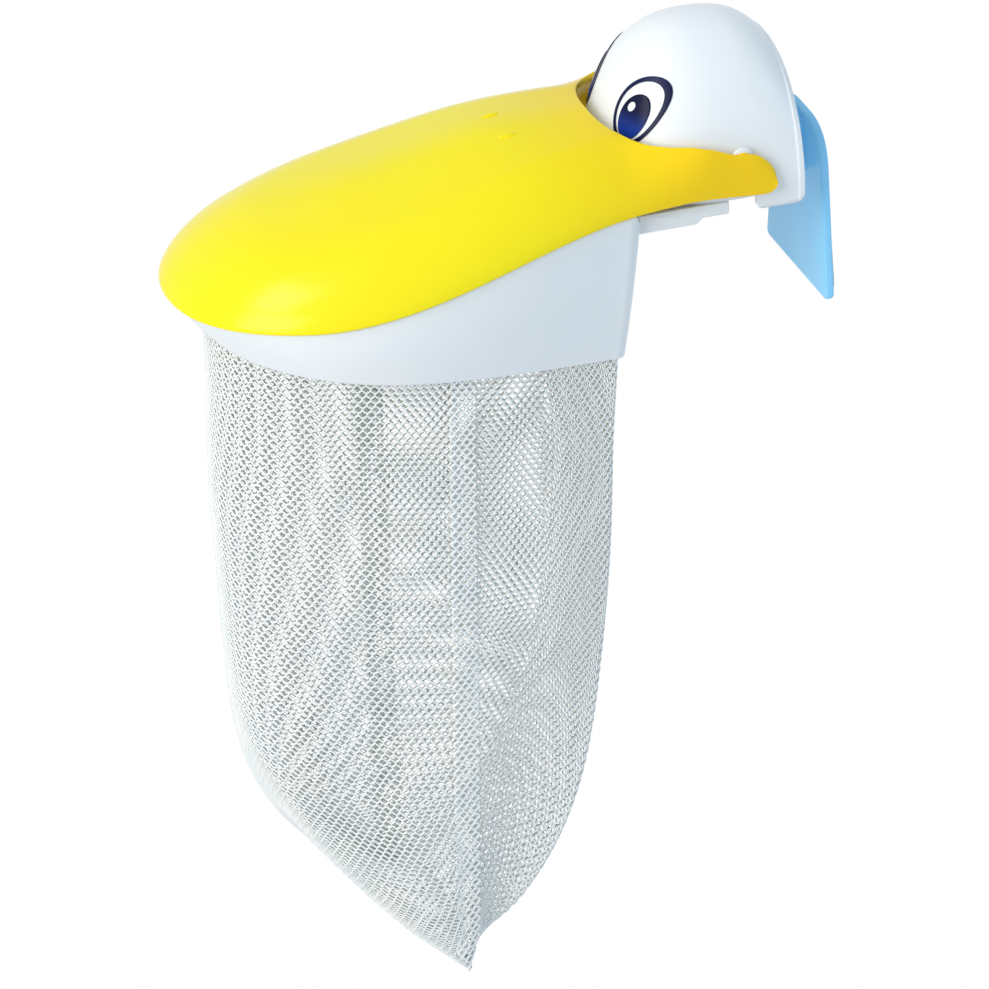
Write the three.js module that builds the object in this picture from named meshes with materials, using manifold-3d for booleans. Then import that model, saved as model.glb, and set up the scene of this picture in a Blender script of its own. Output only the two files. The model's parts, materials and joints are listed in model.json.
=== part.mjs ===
// Bath toy organizer: a pelican that hangs on a wall bracket. Its beak is a hinged lid over a jaw frame,
// and a net bag hangs from the jaw. Millimetres, +Z up, the wall is the plane y = 0, the beak points to -Y.
// The origin is the middle of the face that sticks to the wall.
import * as THREE from "three";
import { mergeVertices } from "three/addons/utils/BufferGeometryUtils.js";
import Module from "manifold-3d";

const wasm = await Module();
wasm.setup();

// Driving dimensions. The pelican's own sizes are measured from the lid's pivot axis.
const pivotFromWall = 49;
const pivotAboveMount = 41.5;
const clearance = 0.4; // between pieces that fit into each other
const contactGap = 0.1; // between flat faces that rest on each other
const overcut = 1; // how far a cut or a joined block runs past the face it meets

const bracket = {
  height: 79, topHalf: 26, bottomHalf: 36, thick: 4, topCorner: 20, footCorner: 4, edgeRound: 1,
};
const pad = { thick: 1.2, inset: 4 };
const rail = { neckHalf: 7, headHalf: 14, headThick: 3.8, topZ: 14, neckTopZ: -5, bottomZ: -30 };

const head = {
  halfWidth: 46, crown: 52, baseZ: -18, middleY: -5, front: 47, rear: 46, rimY: 29,
  power: 2.4, wall: 2.4, flangeZ: -24.5, flangeFrontY: 7, flangeRound: 3, rimRound: 4,
};
const cover = { thick: 2.5, recess: 2.3, channelWall: 2 };
const coverScrew = {
  sideInset: 6.5, sideZ: -11, topWidthShare: 0.52, topZ: 14, headR: 3.2, headH: 1.8, shankR: 1.2, length: 12,
};
const deckScrew = { x: 30, y: -25, headR: 3.4, headH: 2, shankR: 1.3, length: 14 };
const screwHead = { flatShare: 0.8, edgeShare: 0.4 }; // of the head's radius and height
const screwBoss = { r: 4, sideLength: 13 };

const stub = { r: 4.3, length: 8 };
const lid = {
  tipY: -248, widestY: -158, cheekY: 15, maxHalf: 70.5, armWidth: 3.7, frontPower: 2.15,
  rimFrontZ: -39, tipDroop: 6, rimRearZ: -13.2, rimRiseFromY: -205, rimRiseToY: -46, wall: 2.6,
  shoulder: 32, armShoulder: 4, shoulderRise: 21.5, shoulderPower: 1.6, innerShoulder: 0.8,
  crown: 12, armCrown: 6.5, crownSoft: 0.2, armFullness: 1.5,
  cheekEndTopZ: -9, cheekEndBottomZ: -11, cheekRoundTop: 13, cheekRoundBottom: 6,
};
const notch = { gap: 0.8, depth: 55, power: 2.3, land: 1.2, matchY: -30 };
const nostril = { x: 10.5, y: -95.5, length: 8, width: 2.6, height: 0.9, sink: 2 };

const jaw = {
  rearY: -48, inset: 1.5, wall: 2.6, lidGap: 0.5, cornerRound: 8, bulge: 2,
  bottomWidthShare: 0.94, bottomFrontY: -231, bottomRearY: -54, bottomFrontZ: -63, bottomRearZ: -84,
};
const deck = {
  overhang: 0.2, rearY: -6, thick: 3, skirtThick: 3, skirtZ: -27, stepY: -18, stepZ: -24.2, stepSlope: 3,
};
const hoop = { thick: 3, height: 8, above: 1 };
const bag = {
  wall: 1.2, hem: 9, bottomZ: -372, earDrop: 20, topSeamY: -135, seamY: -128, bottomWidthShare: 0.82,
  taperRear: 0.83, taperFront: 0.95, closePowerRear: 5.2, closePowerFront: 6.8, closeRoot: 1.28,
  seamHalf: 1.6, bottomLift: 2,
};
const net = { strandShare: 0.35, crowdingPower: 1.25 };
const seam = { width: 15, thick: 0.8, fromShare: 0.02, toShare: 0.97, narrowing: 2, narrowest: 0.25 };
const eye = {
  x: 21, z: 20, irisX: 6, irisZ: 10, irisDrop: 2.5, ringX: 9.5, ringZ: 15, ringBand: 1.3, thick: 0.6, gap: 0.3,
};

// Resolution of the curved surfaces, and how the lid's ribs are spread along half of its rim.
const steps = {
  rim: 56, shoulder: 6, crown: 8, headRound: 30, headFront: 10, headRear: 6, flange: 3, ring: 24, iris: 3,
  round: 20, screw: 12, jawSide: 20, jawRear: 4, jawCorner: 4, jawLevels: 5, gapsDown: 11, seamRows: 22,
  seamColumns: 3, bracketCorner: 5, bracketEdge: 2, nostrilRound: 16, nostrilHeight: 10,
};
const rimSpread = { taperShare: 0.62, endSpacing: 0.35, denseShare: 0.9, search: 0.001 };
const smallest = { irisRing: 0.15, noseRing: 0.001, slope: 0.05, merge: 1e-4 };

// Sizes that follow from others: the lid's arms lie beside the head, and the deck is as wide as the head.
const notchMaxHalf = head.halfWidth + notch.gap;
const cheekHalf = notchMaxHalf + lid.armWidth;
const deckHalf = head.halfWidth + deck.overhang;
const deckTopZ = head.baseZ - clearance;
const coverScrewSideX = head.halfWidth - coverScrew.sideInset;
const coverScrewTopX = head.halfWidth * coverScrew.topWidthShare;

// Small maths.
const lerp = (from, to, share) => from + (to - from) * share;
const smooth = (from, to, value) => THREE.MathUtils.smoothstep(value, from, to);
const superRoot = (value, power) => Math.pow(Math.max(0, 1 - Math.pow(Math.max(0, value), power)), 1 / power);
const quarterTurn = (share) => (Math.PI / 2) * share;

// A closed surface through the points of equal rings, with the first and last ring capped.
function loft(rings) {
  const count = rings[0].length;
  const points = rings.flat();
  const faces = [];
  for (let i = 0; i + 1 < rings.length; i++) {
    for (let j = 0; j < count; j++) {
      const a = i * count + j;
      const b = i * count + ((j + 1) % count);
      faces.push([a, b, a + count], [b, b + count, a + count]);
    }
  }
  [0, rings.length - 1].forEach((end, side) => {
    const middle = points.length;
    points.push([0, 1, 2].map((k) => rings[end].reduce((sum, p) => sum + p[k], 0) / count));
    for (let j = 0; j < count; j++) {
      const a = end * count + j;
      const b = end * count + ((j + 1) % count);
      faces.push(side ? [a, b, middle] : [b, a, middle]);
    }
  });
  return solid(points, faces);
}

// A closed band: the last ring joins the first one again.
function hoopLoft(rings) {
  const count = rings[0].length;
  const faces = [];
  rings.forEach((ring, i) => {
    const next = (i + 1) % rings.length;
    for (let j = 0; j < count; j++) {
      const k = (j + 1) % count;
      faces.push([i * count + j, i * count + k, next * count + j]);
      faces.push([i * count + k, next * count + k, next * count + j]);
    }
  });
  return solid(rings.flat(), faces);
}

// A plate between two equal grids of points, closed along its four edges.
function plate(outer, inner) {
  const rings = outer.map((row, i) => [...row, ...[...inner[i]].reverse()]);
  return loft(rings);
}

// A wall between two stacks of equal rings, with openings through it. It is joined along the first rings and
// round each opening, and capped across each of the last rings.
function openWall(outer, inner, isOpen) {
  const count = outer[0].length;
  const last = outer.length - 1;
  const points = [...outer.flat(), ...inner.flat()];
  const toInner = outer.length * count;
  const at = (i, j) => i * count + (j % count);
  const faces = [];
  const quad = (a, b, c, d) => faces.push([a, b, c], [a, c, d]);
  const join = (a, b) => quad(a, b, b + toInner, a + toInner);
  for (let i = 0; i < last; i++) {
    for (let j = 0; j < count; j++) {
      const cell = [at(i, j), at(i, j + 1), at(i + 1, j + 1), at(i + 1, j)];
      if (isOpen(i, j)) {
        cell.forEach((corner, k) => join(corner, cell[(k + 1) % cell.length]));
      } else {
        quad(...cell);
        quad(...cell.map((corner) => corner + toInner).reverse());
      }
    }
  }
  const middles = [outer[last], inner[last]].map((ring) =>
    points.push([0, 1, 2].map((k) => ring.reduce((sum, p) => sum + p[k], 0) / count)) - 1);
  for (let j = 0; j < count; j++) {
    join(at(0, j + 1), at(0, j));
    faces.push([at(last, j), at(last, j + 1), middles[0]]);
    faces.push([at(last, j + 1) + toInner, at(last, j) + toInner, middles[1]]);
  }
  return solid(points, faces);
}

// Points and triangles as a manifold solid, turned so that its faces point out.
function solid(points, faces) {
  const volume = faces.reduce((sum, [a, b, c]) => {
    const [p, q, r] = [points[a], points[b], points[c]].map((v) => new THREE.Vector3(...v));
    return sum + p.dot(q.cross(r));
  }, 0);
  const geometry = new THREE.BufferGeometry();
  geometry.setAttribute("position", new THREE.Float32BufferAttribute(points.flat(), 3));
  geometry.setIndex(faces.flatMap(([a, b, c]) => (volume < 0 ? [a, c, b] : [a, b, c])));
  return fromGeometry(geometry);
}

function fromGeometry(geometry) {
  geometry.deleteAttribute("normal");
  geometry.deleteAttribute("uv");
  const merged = mergeVertices(geometry, smallest.merge);
  return new wasm.Manifold(
    new wasm.Mesh({
      numProp: 3,
      vertProperties: new Float32Array(merged.attributes.position.array),
      triVerts: new Uint32Array(merged.index.array),
    }),
  );
}

function box(x0, x1, y0, y1, z0, z1) {
  const geometry = new THREE.BoxGeometry(x1 - x0, y1 - y0, z1 - z0);
  return fromGeometry(geometry.translate((x0 + x1) / 2, (y0 + y1) / 2, (z0 + z1) / 2));
}

// A cylinder from one point to another.
function rod(from, to, radius, sides = steps.round) {
  const a = new THREE.Vector3(...from);
  const axis = new THREE.Vector3(...to).sub(a);
  const geometry = new THREE.CylinderGeometry(radius, radius, axis.length(), sides);
  geometry.translate(0, axis.length() / 2, 0);
  const turn = new THREE.Quaternion().setFromUnitVectors(new THREE.Vector3(0, 1, 0), axis.normalize());
  geometry.applyQuaternion(turn);
  return fromGeometry(geometry.translate(a.x, a.y, a.z));
}

// A side outline of [y, z] points, extruded across from x0 to x1.
function sideExtrusion(outline, x0, x1) {
  const shape = new THREE.Shape(outline.map(([y, z]) => new THREE.Vector2(y, z)));
  const geometry = new THREE.ExtrudeGeometry(shape, { depth: x1 - x0, bevelEnabled: false });
  const toSide = new THREE.Matrix4().makeBasis(
    new THREE.Vector3(0, 1, 0), new THREE.Vector3(0, 0, 1), new THREE.Vector3(1, 0, 0));
  return fromGeometry(geometry.applyMatrix4(toSide).translate(x0, 0, 0));
}

// A pan-head screw along +Z: its head below z = 0 and its shank above.
function screw({ headR, headH, shankR, length }) {
  const profile = [
    [0, -headH], [headR * screwHead.flatShare, -headH], [headR, -headH * screwHead.edgeShare],
    [headR, 0], [shankR, 0], [shankR, length - shankR], [0, length],
  ];
  const lathe = new THREE.LatheGeometry(profile.map(([r, z]) => new THREE.Vector2(r, z)), steps.screw);
  return lathe.rotateX(Math.PI / 2);
}

// Finishes, and a named piece with a material of its own.
const finishes = {
  beak: { color: "#f7d70d", roughness: 0.28, metalness: 0 },
  white: { color: "#eef1f7", roughness: 0.32, metalness: 0 },
  blue: { color: "#9accee", roughness: 0.35, metalness: 0 },
  foam: { color: "#e6e6e2", roughness: 0.9, metalness: 0 },
  net: { color: "#eceee2", roughness: 0.8, metalness: 0 },
  navy: { color: "#16145f", roughness: 0.3, metalness: 0 },
  steel: { color: "#b4b7ba", roughness: 0.35, metalness: 1 },
};

function piece(name, shape, finish) {
  let geometry = shape;
  if (!shape.isBufferGeometry) {
    const mesh = shape.getMesh();
    geometry = new THREE.BufferGeometry();
    geometry.setAttribute("position", new THREE.BufferAttribute(new Float32Array(mesh.vertProperties), 3));
    geometry.setIndex(new THREE.BufferAttribute(new Uint32Array(mesh.triVerts), 1));
    geometry.computeVertexNormals();
  }
  const made = new THREE.Mesh(geometry, new THREE.MeshStandardMaterial(finish));
  made.name = name;
  return made;
}

// Wall mount. The bracket's front face stands forward of the wall by the pad and its own thickness.
const bracketBackY = -(pad.thick + contactGap);
const bracketFrontY = bracketBackY - bracket.thick;

// The bracket's outline on the wall, wider at its foot, drawn in by an inset.
function bracketShape(inset) {
  const half = bracket.height / 2 - inset;
  const round = bracket.topCorner - inset;
  const corner = bracket.footCorner - inset / 2;
  const top = bracket.topHalf - inset;
  const foot = bracket.bottomHalf - inset;
  const shape = new THREE.Shape();
  shape.moveTo(-foot + corner, -half);
  shape.lineTo(foot - corner, -half);
  shape.quadraticCurveTo(foot, -half, foot, -half + corner);
  shape.lineTo(top, half - round);
  shape.quadraticCurveTo(top, half, top - round, half);
  shape.lineTo(-top + round, half);
  shape.quadraticCurveTo(-top, half, -top, half - round);
  shape.lineTo(-foot, -half + corner);
  shape.quadraticCurveTo(-foot, -half, -foot + corner, -half);
  return shape;
}

// The outline's plate, standing off the wall towards -Y.
function wallPlate(shape, backY, thick, edgeRound) {
  const geometry = new THREE.ExtrudeGeometry(shape, {
    depth: thick - 2 * edgeRound, curveSegments: steps.bracketCorner, bevelEnabled: edgeRound > 0,
    bevelThickness: edgeRound, bevelSize: edgeRound, bevelOffset: -edgeRound, bevelSegments: steps.bracketEdge,
  });
  return geometry.rotateX(Math.PI / 2).translate(0, backY - edgeRound, 0);
}

// Back of the head: the cover's faces, the rail's head between cover and channel, all from the rim.
const coverBackY = head.rimY - cover.recess;
const coverFrontY = coverBackY - cover.thick;
const railHeadBackY = coverFrontY - clearance;
const railHeadFrontY = railHeadBackY - rail.headThick;

function wallBracket() {
  const y = -pivotFromWall;
  const z = pivotAboveMount;
  const [neckFrontY, neckBackY] = [railHeadBackY + y - overcut, bracketFrontY + overcut];
  const [headFrontY, headBackY] = [railHeadFrontY + y, railHeadBackY + y];
  const footZ = rail.bottomZ + z;
  const neck = box(-rail.neckHalf, rail.neckHalf, neckFrontY, neckBackY, footZ, rail.neckTopZ + z);
  const railHead = box(-rail.headHalf, rail.headHalf, headFrontY, headBackY, footZ, rail.topZ + z);
  const back = fromGeometry(wallPlate(bracketShape(0), bracketBackY, bracket.thick, bracket.edgeRound));
  return back.add(neck).add(railHead);
}

// Head. A cross-section at y is half an ellipse on the base height; a share scales it down to front and rear.
function headSection(y, inset) {
  const reach = y < head.middleY ? head.front : head.rear;
  const share = superRoot(Math.abs(y - head.middleY) / (reach - inset), head.power);
  const height = (head.crown - head.baseZ - inset) * share;
  const half = (head.halfWidth - inset) * (y < head.middleY ? share : 1);
  return { half, height };
}

// One ring of the head at y: over the arch and down to the foot height.
function headRing(y, inset, footZ) {
  const { half, height } = headSection(y, inset);
  const ring = [];
  for (let i = 0; i <= steps.headRound; i++) {
    const angle = (Math.PI * i) / steps.headRound;
    ring.push([half * Math.cos(angle), y, head.baseZ + height * Math.sin(angle)]);
  }
  ring.push([-half, y, footZ], [half, y, footZ]);
  return ring;
}

function headBody(inset, rearY, footZ) {
  const nose = head.middleY - (head.front - inset) * (1 - smallest.noseRing);
  const rings = [];
  for (let i = 0; i <= steps.headFront; i++) {
    const share = 1 - Math.cos(quarterTurn(i / steps.headFront));
    rings.push(headRing(lerp(nose, head.middleY, share), inset, footZ));
  }
  for (let i = 1; i <= steps.headRear; i++) {
    rings.push(headRing(lerp(head.middleY, rearY, i / steps.headRear), inset, footZ));
  }
  return loft(rings);
}

// The four places of the cover's screws, as x and z, with the length of the boss behind each.
const coverScrewPlaces = [[1, "left"], [-1, "right"]].flatMap(([side, word]) => [
  { name: "lower_" + word, x: side * coverScrewSideX, z: coverScrew.sideZ, boss: screwBoss.sideLength },
  { name: "upper_" + word, x: side * coverScrewTopX, z: coverScrew.topZ, boss: head.front + head.rear },
]);

// The space in front of the flange and below the head's base, with the flange's rounded corner.
function flangeCut(beyond) {
  const r = head.flangeRound;
  const frontY = head.middleY - head.front - beyond;
  const lowZ = head.flangeZ - beyond;
  const outline = [[frontY, head.baseZ], [frontY, lowZ], [head.flangeFrontY + r, lowZ]];
  for (let i = 0; i <= steps.flange; i++) {
    const angle = quarterTurn(i / steps.flange);
    outline.push([head.flangeFrontY + r * (1 - Math.sin(angle)), head.flangeZ + r * (1 - Math.cos(angle))]);
  }
  outline.push([head.flangeFrontY, head.baseZ]);
  return sideExtrusion(outline, -head.halfWidth - beyond, head.halfWidth + beyond);
}

// The corner that is rounded off below the rear rim.
function rimCornerCut(beyond) {
  const r = head.rimRound;
  const lowZ = head.flangeZ - beyond;
  const farY = head.rimY + beyond;
  const outline = [[head.rimY - r, lowZ], [farY, lowZ], [farY, head.flangeZ + r]];
  for (let i = 0; i <= steps.flange; i++) {
    const angle = quarterTurn(i / steps.flange);
    outline.push([head.rimY - r * (1 - Math.cos(angle)), head.flangeZ + r * (1 - Math.sin(angle))]);
  }
  return sideExtrusion(outline, -head.halfWidth - beyond, head.halfWidth + beyond);
}

function headShell() {
  const beyond = head.flangeRound + 2 * overcut;
  const outer = headBody(0, head.rimY, head.flangeZ);
  const inner = headBody(head.wall, head.rimY + beyond, head.flangeZ - beyond);
  let shell = outer.subtract(inner).subtract(flangeCut(beyond)).subtract(rimCornerCut(beyond));
  // Bosses for the cover's and the deck's screws, kept inside the outer skin.
  const bossEndY = coverFrontY - clearance;
  const bosses = [];
  for (const { x, z, boss } of coverScrewPlaces) {
    bosses.push(rod([x, bossEndY, z], [x, bossEndY - boss, z], screwBoss.r));
  }
  for (const side of [1, -1]) {
    const x = side * deckScrew.x;
    bosses.push(rod([x, deckScrew.y, head.baseZ], [x, deckScrew.y, head.crown], screwBoss.r));
  }
  for (const boss of bosses) shell = shell.add(boss.intersect(outer));
  // Pilot holes, and the round holes that the lid's stubs turn in.
  for (const { x, z } of coverScrewPlaces) {
    const from = [x, bossEndY + overcut, z];
    const to = [x, bossEndY - coverScrew.length + cover.thick, z];
    shell = shell.subtract(rod(from, to, coverScrew.shankR + clearance, steps.screw));
  }
  for (const side of [1, -1]) {
    const from = [side * deckScrew.x, deckScrew.y, head.baseZ - overcut];
    const to = [side * deckScrew.x, deckScrew.y, head.baseZ + deckScrew.length];
    shell = shell.subtract(rod(from, to, deckScrew.shankR + clearance, steps.screw));
  }
  const reach = head.halfWidth + beyond;
  return shell.subtract(rod([-reach, 0, 0], [reach, 0, 0], stub.r + clearance));
}

// The cover closes the head's back. Its channel runs down over the bracket's rail and stops on the rail's top.
function headCover() {
  const inset = head.wall + clearance;
  const footZ = head.flangeZ + clearance;
  const fullRing = (y) => headRing(y, inset, footZ);
  const sheet = loft([fullRing(coverFrontY), fullRing(coverBackY)]);
  const inside = rail.headHalf + clearance;
  const outside = inside + cover.channelWall;
  const stopZ = rail.topZ + contactGap;
  const frontY = railHeadFrontY - clearance;
  const sunkY = coverFrontY + cover.thick / 2;
  const block = box(-outside, outside, frontY - cover.channelWall, sunkY, footZ, stopZ + cover.channelWall);
  const channel = block.subtract(box(-inside, inside, frontY, sunkY, footZ - overcut, stopZ));
  const slotHalf = rail.neckHalf + clearance;
  const slotTopZ = rail.neckTopZ + clearance;
  const slotFrontY = coverFrontY - overcut;
  const slotBackY = coverBackY + overcut;
  const slot = box(-slotHalf, slotHalf, slotFrontY, slotBackY, footZ - overcut, slotTopZ);
  let made = sheet.add(channel).subtract(slot);
  for (const { x, z } of coverScrewPlaces) {
    const from = [x, coverFrontY - overcut, z];
    const to = [x, coverBackY + overcut, z];
    made = made.subtract(rod(from, to, coverScrew.shankR + clearance, steps.screw));
  }
  return made;
}

// A point of the head's front skin at x and z, moved out along the skin's normal.
function headSkin(x, z, out) {
  const depth = (px, pz) => {
    const share = Math.hypot(px / head.halfWidth, (pz - head.baseZ) / (head.crown - head.baseZ));
    return head.middleY - head.front * superRoot(share, head.power);
  };
  const tiny = smallest.slope;
  const slopeX = (depth(x + tiny, z) - depth(x - tiny, z)) / (2 * tiny);
  const slopeZ = (depth(x, z + tiny) - depth(x, z - tiny)) / (2 * tiny);
  const normal = new THREE.Vector3(slopeX, -1, slopeZ).normalize().multiplyScalar(out);
  return [x + normal.x, depth(x, z) + normal.y, z + normal.z];
}

// One oval ring on the skin of a side, at a share of its size and a height over the skin.
function eyeRing(side, z, halfX, halfZ, share, out) {
  const ring = [];
  for (let i = 0; i < steps.ring; i++) {
    const angle = (2 * Math.PI * i) / steps.ring;
    const x = eye.x + halfX * share * Math.cos(angle);
    const [px, py, pz] = headSkin(x, z + halfZ * share * Math.sin(angle), out);
    ring.push([side * px, py, pz]);
  }
  return ring;
}

// The filled oval of an iris, as a thin raised piece: rings from its middle out on top, and back underneath.
function eyeIris(side) {
  const rings = [];
  const ringAt = (share, out) => eyeRing(side, eye.z - eye.irisDrop, eye.irisX, eye.irisZ, share, out);
  for (let i = 0; i < steps.iris; i++) {
    rings.push(ringAt(lerp(smallest.irisRing, 1, i / (steps.iris - 1)), eye.gap + eye.thick));
  }
  for (let i = steps.iris - 1; i >= 0; i--) {
    rings.push(ringAt(lerp(smallest.irisRing, 1, i / (steps.iris - 1)), eye.gap));
  }
  return loft(rings);
}

// The band of an eye's outline.
function eyeOutline(side) {
  const inner = 1 - eye.ringBand / eye.ringX;
  const ringAt = (share, out) => eyeRing(side, eye.z, eye.ringX, eye.ringZ, share, out);
  const top = eye.gap + eye.thick;
  return hoopLoft([ringAt(1, top), ringAt(inner, top), ringAt(inner, eye.gap), ringAt(1, eye.gap)]);
}

// Lid. The rim's half width in plan, and the height of its lower edge.
function lidHalf(y, inset = 0) {
  if (y < lid.widestY) {
    const ahead = (lid.widestY - y) / (lid.widestY - lid.tipY - inset);
    return (lid.maxHalf - inset) * superRoot(ahead, lid.frontPower);
  }
  return lerp(lid.maxHalf, cheekHalf, smooth(lid.widestY, 0, y)) - inset;
}

// How much of its height an arm keeps near its rounded end.
const endShare = (y, round) => superRoot((y - lid.cheekY + round) / round, 2);

function lidRimZ(y) {
  const ahead = Math.max(0, (lid.widestY - y) / (lid.widestY - lid.tipY));
  const level = lerp(lid.rimFrontZ, lid.rimRearZ, smooth(lid.rimRiseFromY, lid.rimRiseToY, y));
  const z = level - lid.tipDroop * ahead ** 2;
  return lerp(lid.cheekEndBottomZ, z, endShare(y, lid.cheekRoundBottom));
}

// The height of the lid's skin over the plan, for the outer skin or one drawn in. It rises from the rim over a
// rounded shoulder, which is narrow on the arms, and then over a low crown that is fuller beside the notch.
function lidSkinZ(x, y, inset) {
  const depth = lid.widestY - lid.tipY - inset;
  const across = Math.abs(x) / (y < lid.widestY ? lid.maxHalf - inset : lidHalf(y, inset));
  const ahead = Math.max(0, (lid.widestY - y) / depth);
  const out = Math.min(1, Math.pow(across ** lid.frontPower + ahead ** lid.frontPower, 1 / lid.frontPower));
  const half = y < lid.widestY ? lid.maxHalf : lidHalf(y);
  const onArm = smooth(-notch.depth, notch.matchY / 2, y);
  const width = lerp(lid.shoulder, lid.armShoulder, onArm) - inset * lid.innerShoulder;
  const roundUp = superRoot(1 - Math.min(1, ((1 - out) * half) / width), lid.shoulderPower);
  const beside = smooth(-2 * notch.depth, -notch.depth, y);
  const soft = lid.crownSoft;
  const slope = 1 - (Math.hypot(out, soft) - soft) / (Math.hypot(1, soft) - soft);
  const crown = lerp(lid.crown * slope, lid.armCrown * (1 - out ** lid.armFullness), beside);
  const top = lid.shoulderRise * roundUp + crown - inset * roundUp;
  const end = lid.cheekEndTopZ - lid.cheekEndBottomZ;
  return lidRimZ(y) + lerp(end * roundUp, top, endShare(y, lid.cheekRoundTop));
}

const notchHalf = (y) => notchMaxHalf * superRoot(Math.max(0, -y) / notch.depth, notch.power);

// The rim's y along half the lid, from cheek to tip; even in the taper, and by angle round the front.
function rimY(share) {
  const { taperShare, endSpacing } = rimSpread;
  if (share <= taperShare) {
    const along = share / taperShare;
    return lerp(lid.cheekY, lid.widestY, along * lerp(endSpacing, 1, along));
  }
  const angle = quarterTurn((share - taperShare) / (1 - taperShare));
  return lid.widestY + (lid.tipY - lid.widestY) * Math.pow(Math.sin(angle), 2 / lid.frontPower);
}

// The notch's y that faces a place on the rim: level with it on the arms, then fanned round the front.
function facingNotchY(y, share, matchShare) {
  if (y >= notch.matchY) return y;
  const from = Math.asin(Math.pow(-notch.matchY / notch.depth, notch.power / 2));
  const angle = lerp(from, Math.PI / 2, (share - matchShare) / (1 - matchShare));
  return -notch.depth * Math.pow(Math.sin(angle), 2 / notch.power);
}

// One rib of the lid from rim to notch, for one side, on the outer skin or the inner one.
function lidRib(side, share, matchShare, inset) {
  const y = rimY(share);
  const edgeY = facingNotchY(y, share, matchShare);
  const rim = new THREE.Vector2(lidHalf(y), y);
  const edge = new THREE.Vector2(share === 1 ? 0 : notchHalf(edgeY) + (inset ? 0 : notch.land), edgeY);
  if (inset) {
    const shrink = (lid.widestY - lid.tipY - inset) / (lid.widestY - lid.tipY);
    rim.y = y < lid.widestY ? lid.widestY + (y - lid.widestY) * shrink : y;
    rim.x = share === 1 ? 0 : lidHalf(rim.y, inset);
  }
  const reach = edge.distanceTo(rim);
  const dense = Math.min(lid.shoulder * 2, rimSpread.denseShare * reach);
  const rib = [];
  const at = (distance) => {
    const place = rim.clone().lerp(edge, distance / reach);
    rib.push([side * place.x, place.y, distance === 0 ? lidRimZ(y) : lidSkinZ(place.x, place.y, inset)]);
  };
  for (let i = 0; i <= steps.shoulder; i++) at(dense * (1 - Math.cos(quarterTurn(i / steps.shoulder))));
  for (let i = 1; i <= steps.crown; i++) at(lerp(dense, reach, i / steps.crown));
  return rib;
}

function beakLid() {
  const half = steps.rim / 2;
  let matchShare = 0;
  while (rimY(matchShare) > notch.matchY) matchShare += rimSpread.search;
  const ribs = (inset) => {
    const left = [];
    for (let i = 0; i <= half; i++) left.push(lidRib(1, i / half, matchShare, inset));
    const right = [];
    for (let i = half - 1; i >= 0; i--) right.push(lidRib(-1, i / half, matchShare, inset));
    return [...left, ...right];
  };
  let made = plate(ribs(0), ribs(lid.wall));
  for (const side of [1, -1]) {
    const root = side * (notchMaxHalf + lid.wall / 2);
    made = made.add(rod([root, 0, 0], [root - side * stub.length, 0, 0], stub.r));
    made = made.add(nostrilBump(side));
  }
  return made;
}

function nostrilBump(side) {
  const bump = new THREE.SphereGeometry(1, steps.nostrilRound, steps.nostrilHeight);
  bump.scale(nostril.width / 2, nostril.length / 2, nostril.height + nostril.sink);
  const z = lidSkinZ(nostril.x, nostril.y, 0) - nostril.sink;
  return fromGeometry(bump.translate(side * nostril.x, nostril.y, z));
}

// Jaw. Half of its upper edge in plan, from the middle of the rear wall round to the front.
// A share along a stretch of the jaw's plan. Its steps are narrow and wide by turns, for the net's strands and
// gaps.
function netPlace(i, count, narrowFirst) {
  if (i % 2 === 0) return i / count;
  const narrow = 2 * net.strandShare;
  return (narrowFirst ? i - 1 + narrow : i + 1 - narrow) / count;
}

function jawHalfPlan() {
  const front = lid.tipY + jaw.inset;
  const sideFrom = jaw.rearY - jaw.cornerRound;
  const flat = lidHalf(sideFrom, jaw.inset) - jaw.cornerRound;
  const halfSteps = steps.jawSide / 2;
  const points = [];
  for (let i = 0; i < steps.jawRear; i++) points.push([flat * netPlace(i, steps.jawRear, true), jaw.rearY]);
  for (let i = 0; i <= steps.jawCorner; i++) {
    const angle = quarterTurn(i / steps.jawCorner);
    const back = jaw.cornerRound * (1 - Math.cos(angle));
    points.push([flat + jaw.cornerRound * Math.sin(angle), jaw.rearY - back]);
  }
  for (let i = 1; i <= halfSteps; i++) {
    const y = lerp(sideFrom, lid.widestY, netPlace(i, halfSteps, false));
    points.push([lidHalf(y, jaw.inset), y]);
  }
  for (let i = 1; i < halfSteps; i++) {
    const angle = quarterTurn(netPlace(i, halfSteps, false));
    const y = lid.widestY + (front - lid.widestY) * Math.pow(Math.sin(angle), 2 / lid.frontPower);
    points.push([lidHalf(y, jaw.inset), y]);
  }
  points.push([0, front]);
  return points;
}

const jawPlan = (() => {
  const half = jawHalfPlan();
  return [...half, ...half.slice(1, -1).reverse().map(([x, y]) => [-x, y])];
})();
const jawFrontY = Math.min(...jawPlan.map(([, y]) => y));

// The jaw's lower edge in plan, and its height, which falls towards the rear.
const jawBottomPlan = jawPlan.map(([x, y]) => [
  x * jaw.bottomWidthShare,
  lerp(jaw.bottomFrontY, jaw.bottomRearY, (y - jawFrontY) / (jaw.rearY - jawFrontY)),
]);

function jawBottomZ(y) {
  const share = (y - jaw.bottomFrontY) / (jaw.bottomRearY - jaw.bottomFrontY);
  return lerp(jaw.bottomFrontZ, jaw.bottomRearZ, share);
}

// The jaw's upper edge follows the lid's rim and falls to the deck round the rear corners.
function jawTopZ(y) {
  const rearward = smooth(jaw.rearY - jaw.cornerRound, jaw.rearY - overcut, y);
  return Math.min(lidRimZ(y) - jaw.lidGap, lerp(0, deckTopZ, rearward));
}

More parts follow.
